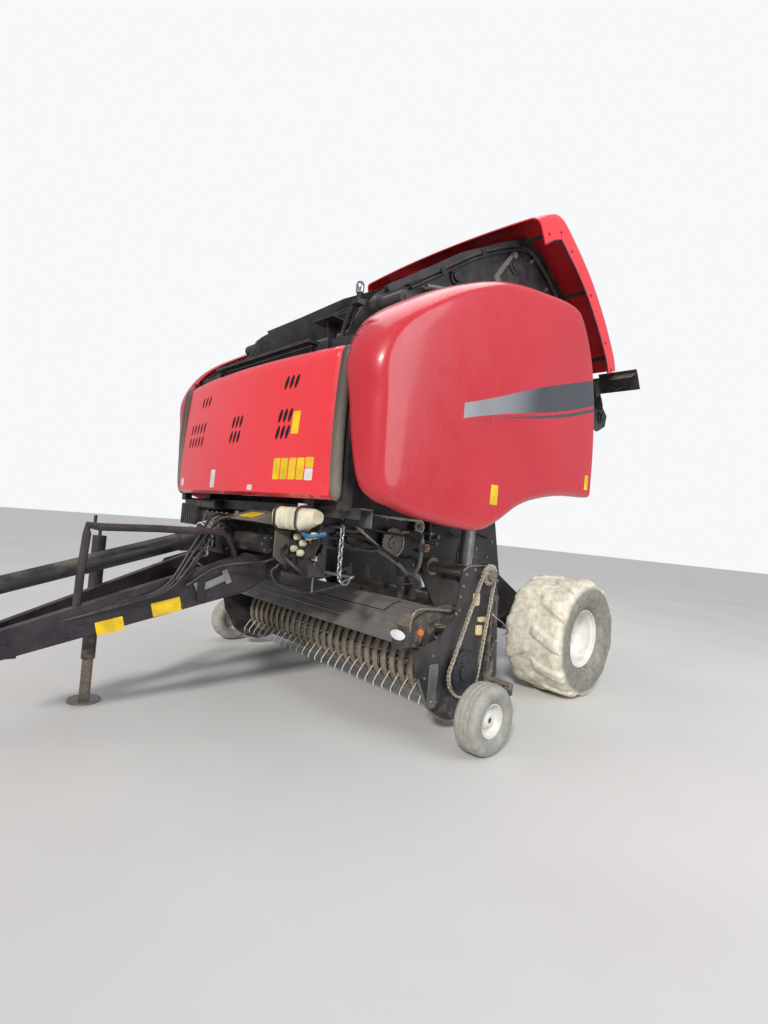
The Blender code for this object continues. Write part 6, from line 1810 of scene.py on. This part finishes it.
def make_gate():
    both_sides(gate_details(), "tailgate_fasteners", BLACK, "tailgate")
    both_sides(gate_brace(), "tailgate_brace", BAND_GREY, "tailgate", bevel=0.001)
    both_sides(gate_fittings(), "tailgate_fittings", TIN, "tailgate")
    both_sides(gate_spring(), "tailgate_spring", STEEL, "tailgate", sharp=60.0)
    make(cross_details(), "cross_plate_ribs", BAND_GREY, "tailgate", bevel=0.001)
    lines = Solid()
    for shift in (0.0, 0.024):
        lines.pipe([(0.69, -1.56 + shift, 2.56 - shift), (0.7, -1.2, 2.575 - shift), (0.702, -0.7, 2.59 - shift),
                    (0.704, -0.18, 2.535 - shift), (0.704, 0.03 - shift, 2.38), (0.704, 0.22 - shift, 2.02),
                    (0.704, 0.33 - shift, 1.6), (0.704, 0.39 - shift, 1.19), (0.7, 0.47 - shift, 1.02)], 0.009, 12, 8)
    for y, z in ((-1.2, 2.563), (-0.7, 2.578), (-0.18, 2.523), (0.208, 2.02), (0.318, 1.6)):
        lines.box((0.688, y - 0.026, z - 0.022), (0.714, y + 0.026, z + 0.022))
    lines.lift()
    both_sides(lines, "tailgate_lines", HOSE, "tailgate", sharp=60.0)
    both_sides(bracket_plates(), "lamp_shelf", BLACK, "tailgate", bevel=0.0008)
    both_sides(lamp_cluster(), "rear_lamp_housing", BLACK, "tailgate", bevel=0.002)
    both_sides(lens(1.012, 0.062), "rear_lamp_red", LENS_RED, "tailgate", sharp=40.0)
    both_sides(lens(1.083, 0.058), "rear_lamp_amber", ORANGE, "tailgate", sharp=40.0)
    front_ribs = belt_ribs(belt_run([(-1.98, 2.24), (-1.98, 1.12)]))
    make(front_ribs, "front_belt_ribs", BELT, "chassis", sharp=60.0)
    make(belt_ribs(belt_run(GATE_ROLLERS)).lift(), "tailgate_belt_ribs", BELT, "tailgate", sharp=60.0)


def belt_run(rollers):
    """Ribs' places over a loop of rollers."""
    outline = []
    count = len(rollers)
    for i, here in enumerate(rollers):
        before, after = rollers[i - 1], rollers[(i + 1) % count]
        start = degrees(atan2(here[1] - before[1], here[0] - before[0])) - 90.0
        end = degrees(atan2(after[1] - here[1], after[0] - here[0])) - 90.0
        while end < start:
            end += 360.0
        outline += arc(here, 0.0655, start, end, max(2, int((end - start) / 10.0)))
    return even(outline, 0.03, True)


def make_cylinders():
    """Rings, sleeves and the round rod of the tailgate cylinders."""
    foot, boss = Vector((0.785, -0.96, 0.86)), (0.785, -0.87, 2.15)
    eye = Vector(lift_point(boss))
    along = (eye - foot).normalized()
    closed = (Vector(boss) - foot).length

    def at(distance):
        return foot + along * distance

    part = Solid()
    for s in (0.055, closed - 0.18, closed - 0.124):
        collar(part, at(s), at(s + 0.012), 0.0492, 0.0545)
    part.rod(at(0.085) + Vector(FRONT) * 0.047, at(0.085) + Vector(FRONT) * 0.074, 0.014, 6)
    both_sides(part, "cylinder_rings", STEEL, "barrel_*", bevel=0.001)
    both_sides(collar(Solid(), at(0.46), at(closed - 0.176), 0.047, 0.0492, 48), "cylinder_sleeve", BLACK, "barrel_*")
    both_sides(collar(Solid(), at(0.068), at(0.455), 0.047, 0.0492, 48), "cylinder_sleeve_low", TIN, "barrel_*")
    rod = Solid().rod(at(closed - 0.23), eye - along * 0.02, 0.0275, 48)
    rod.rod(at(closed - 0.23), at(closed - 0.2), 0.0395, 48)
    rod.disc("X", eye[1:], 0.042, 0.7602, 0.8098, 48, 0.003)
    rod.disc("X", eye[1:], 0.02, 0.759, 0.824, 32, 0.002)
    both_sides(rod, "rod_chrome", CHROME, "rod_*", ["cylinder_rod_*"])


make_wheels()
make_covers()
make_pickup()
make_guard()
make_front()
make_roof()
make_sides()
make_gate()
make_cylinders()
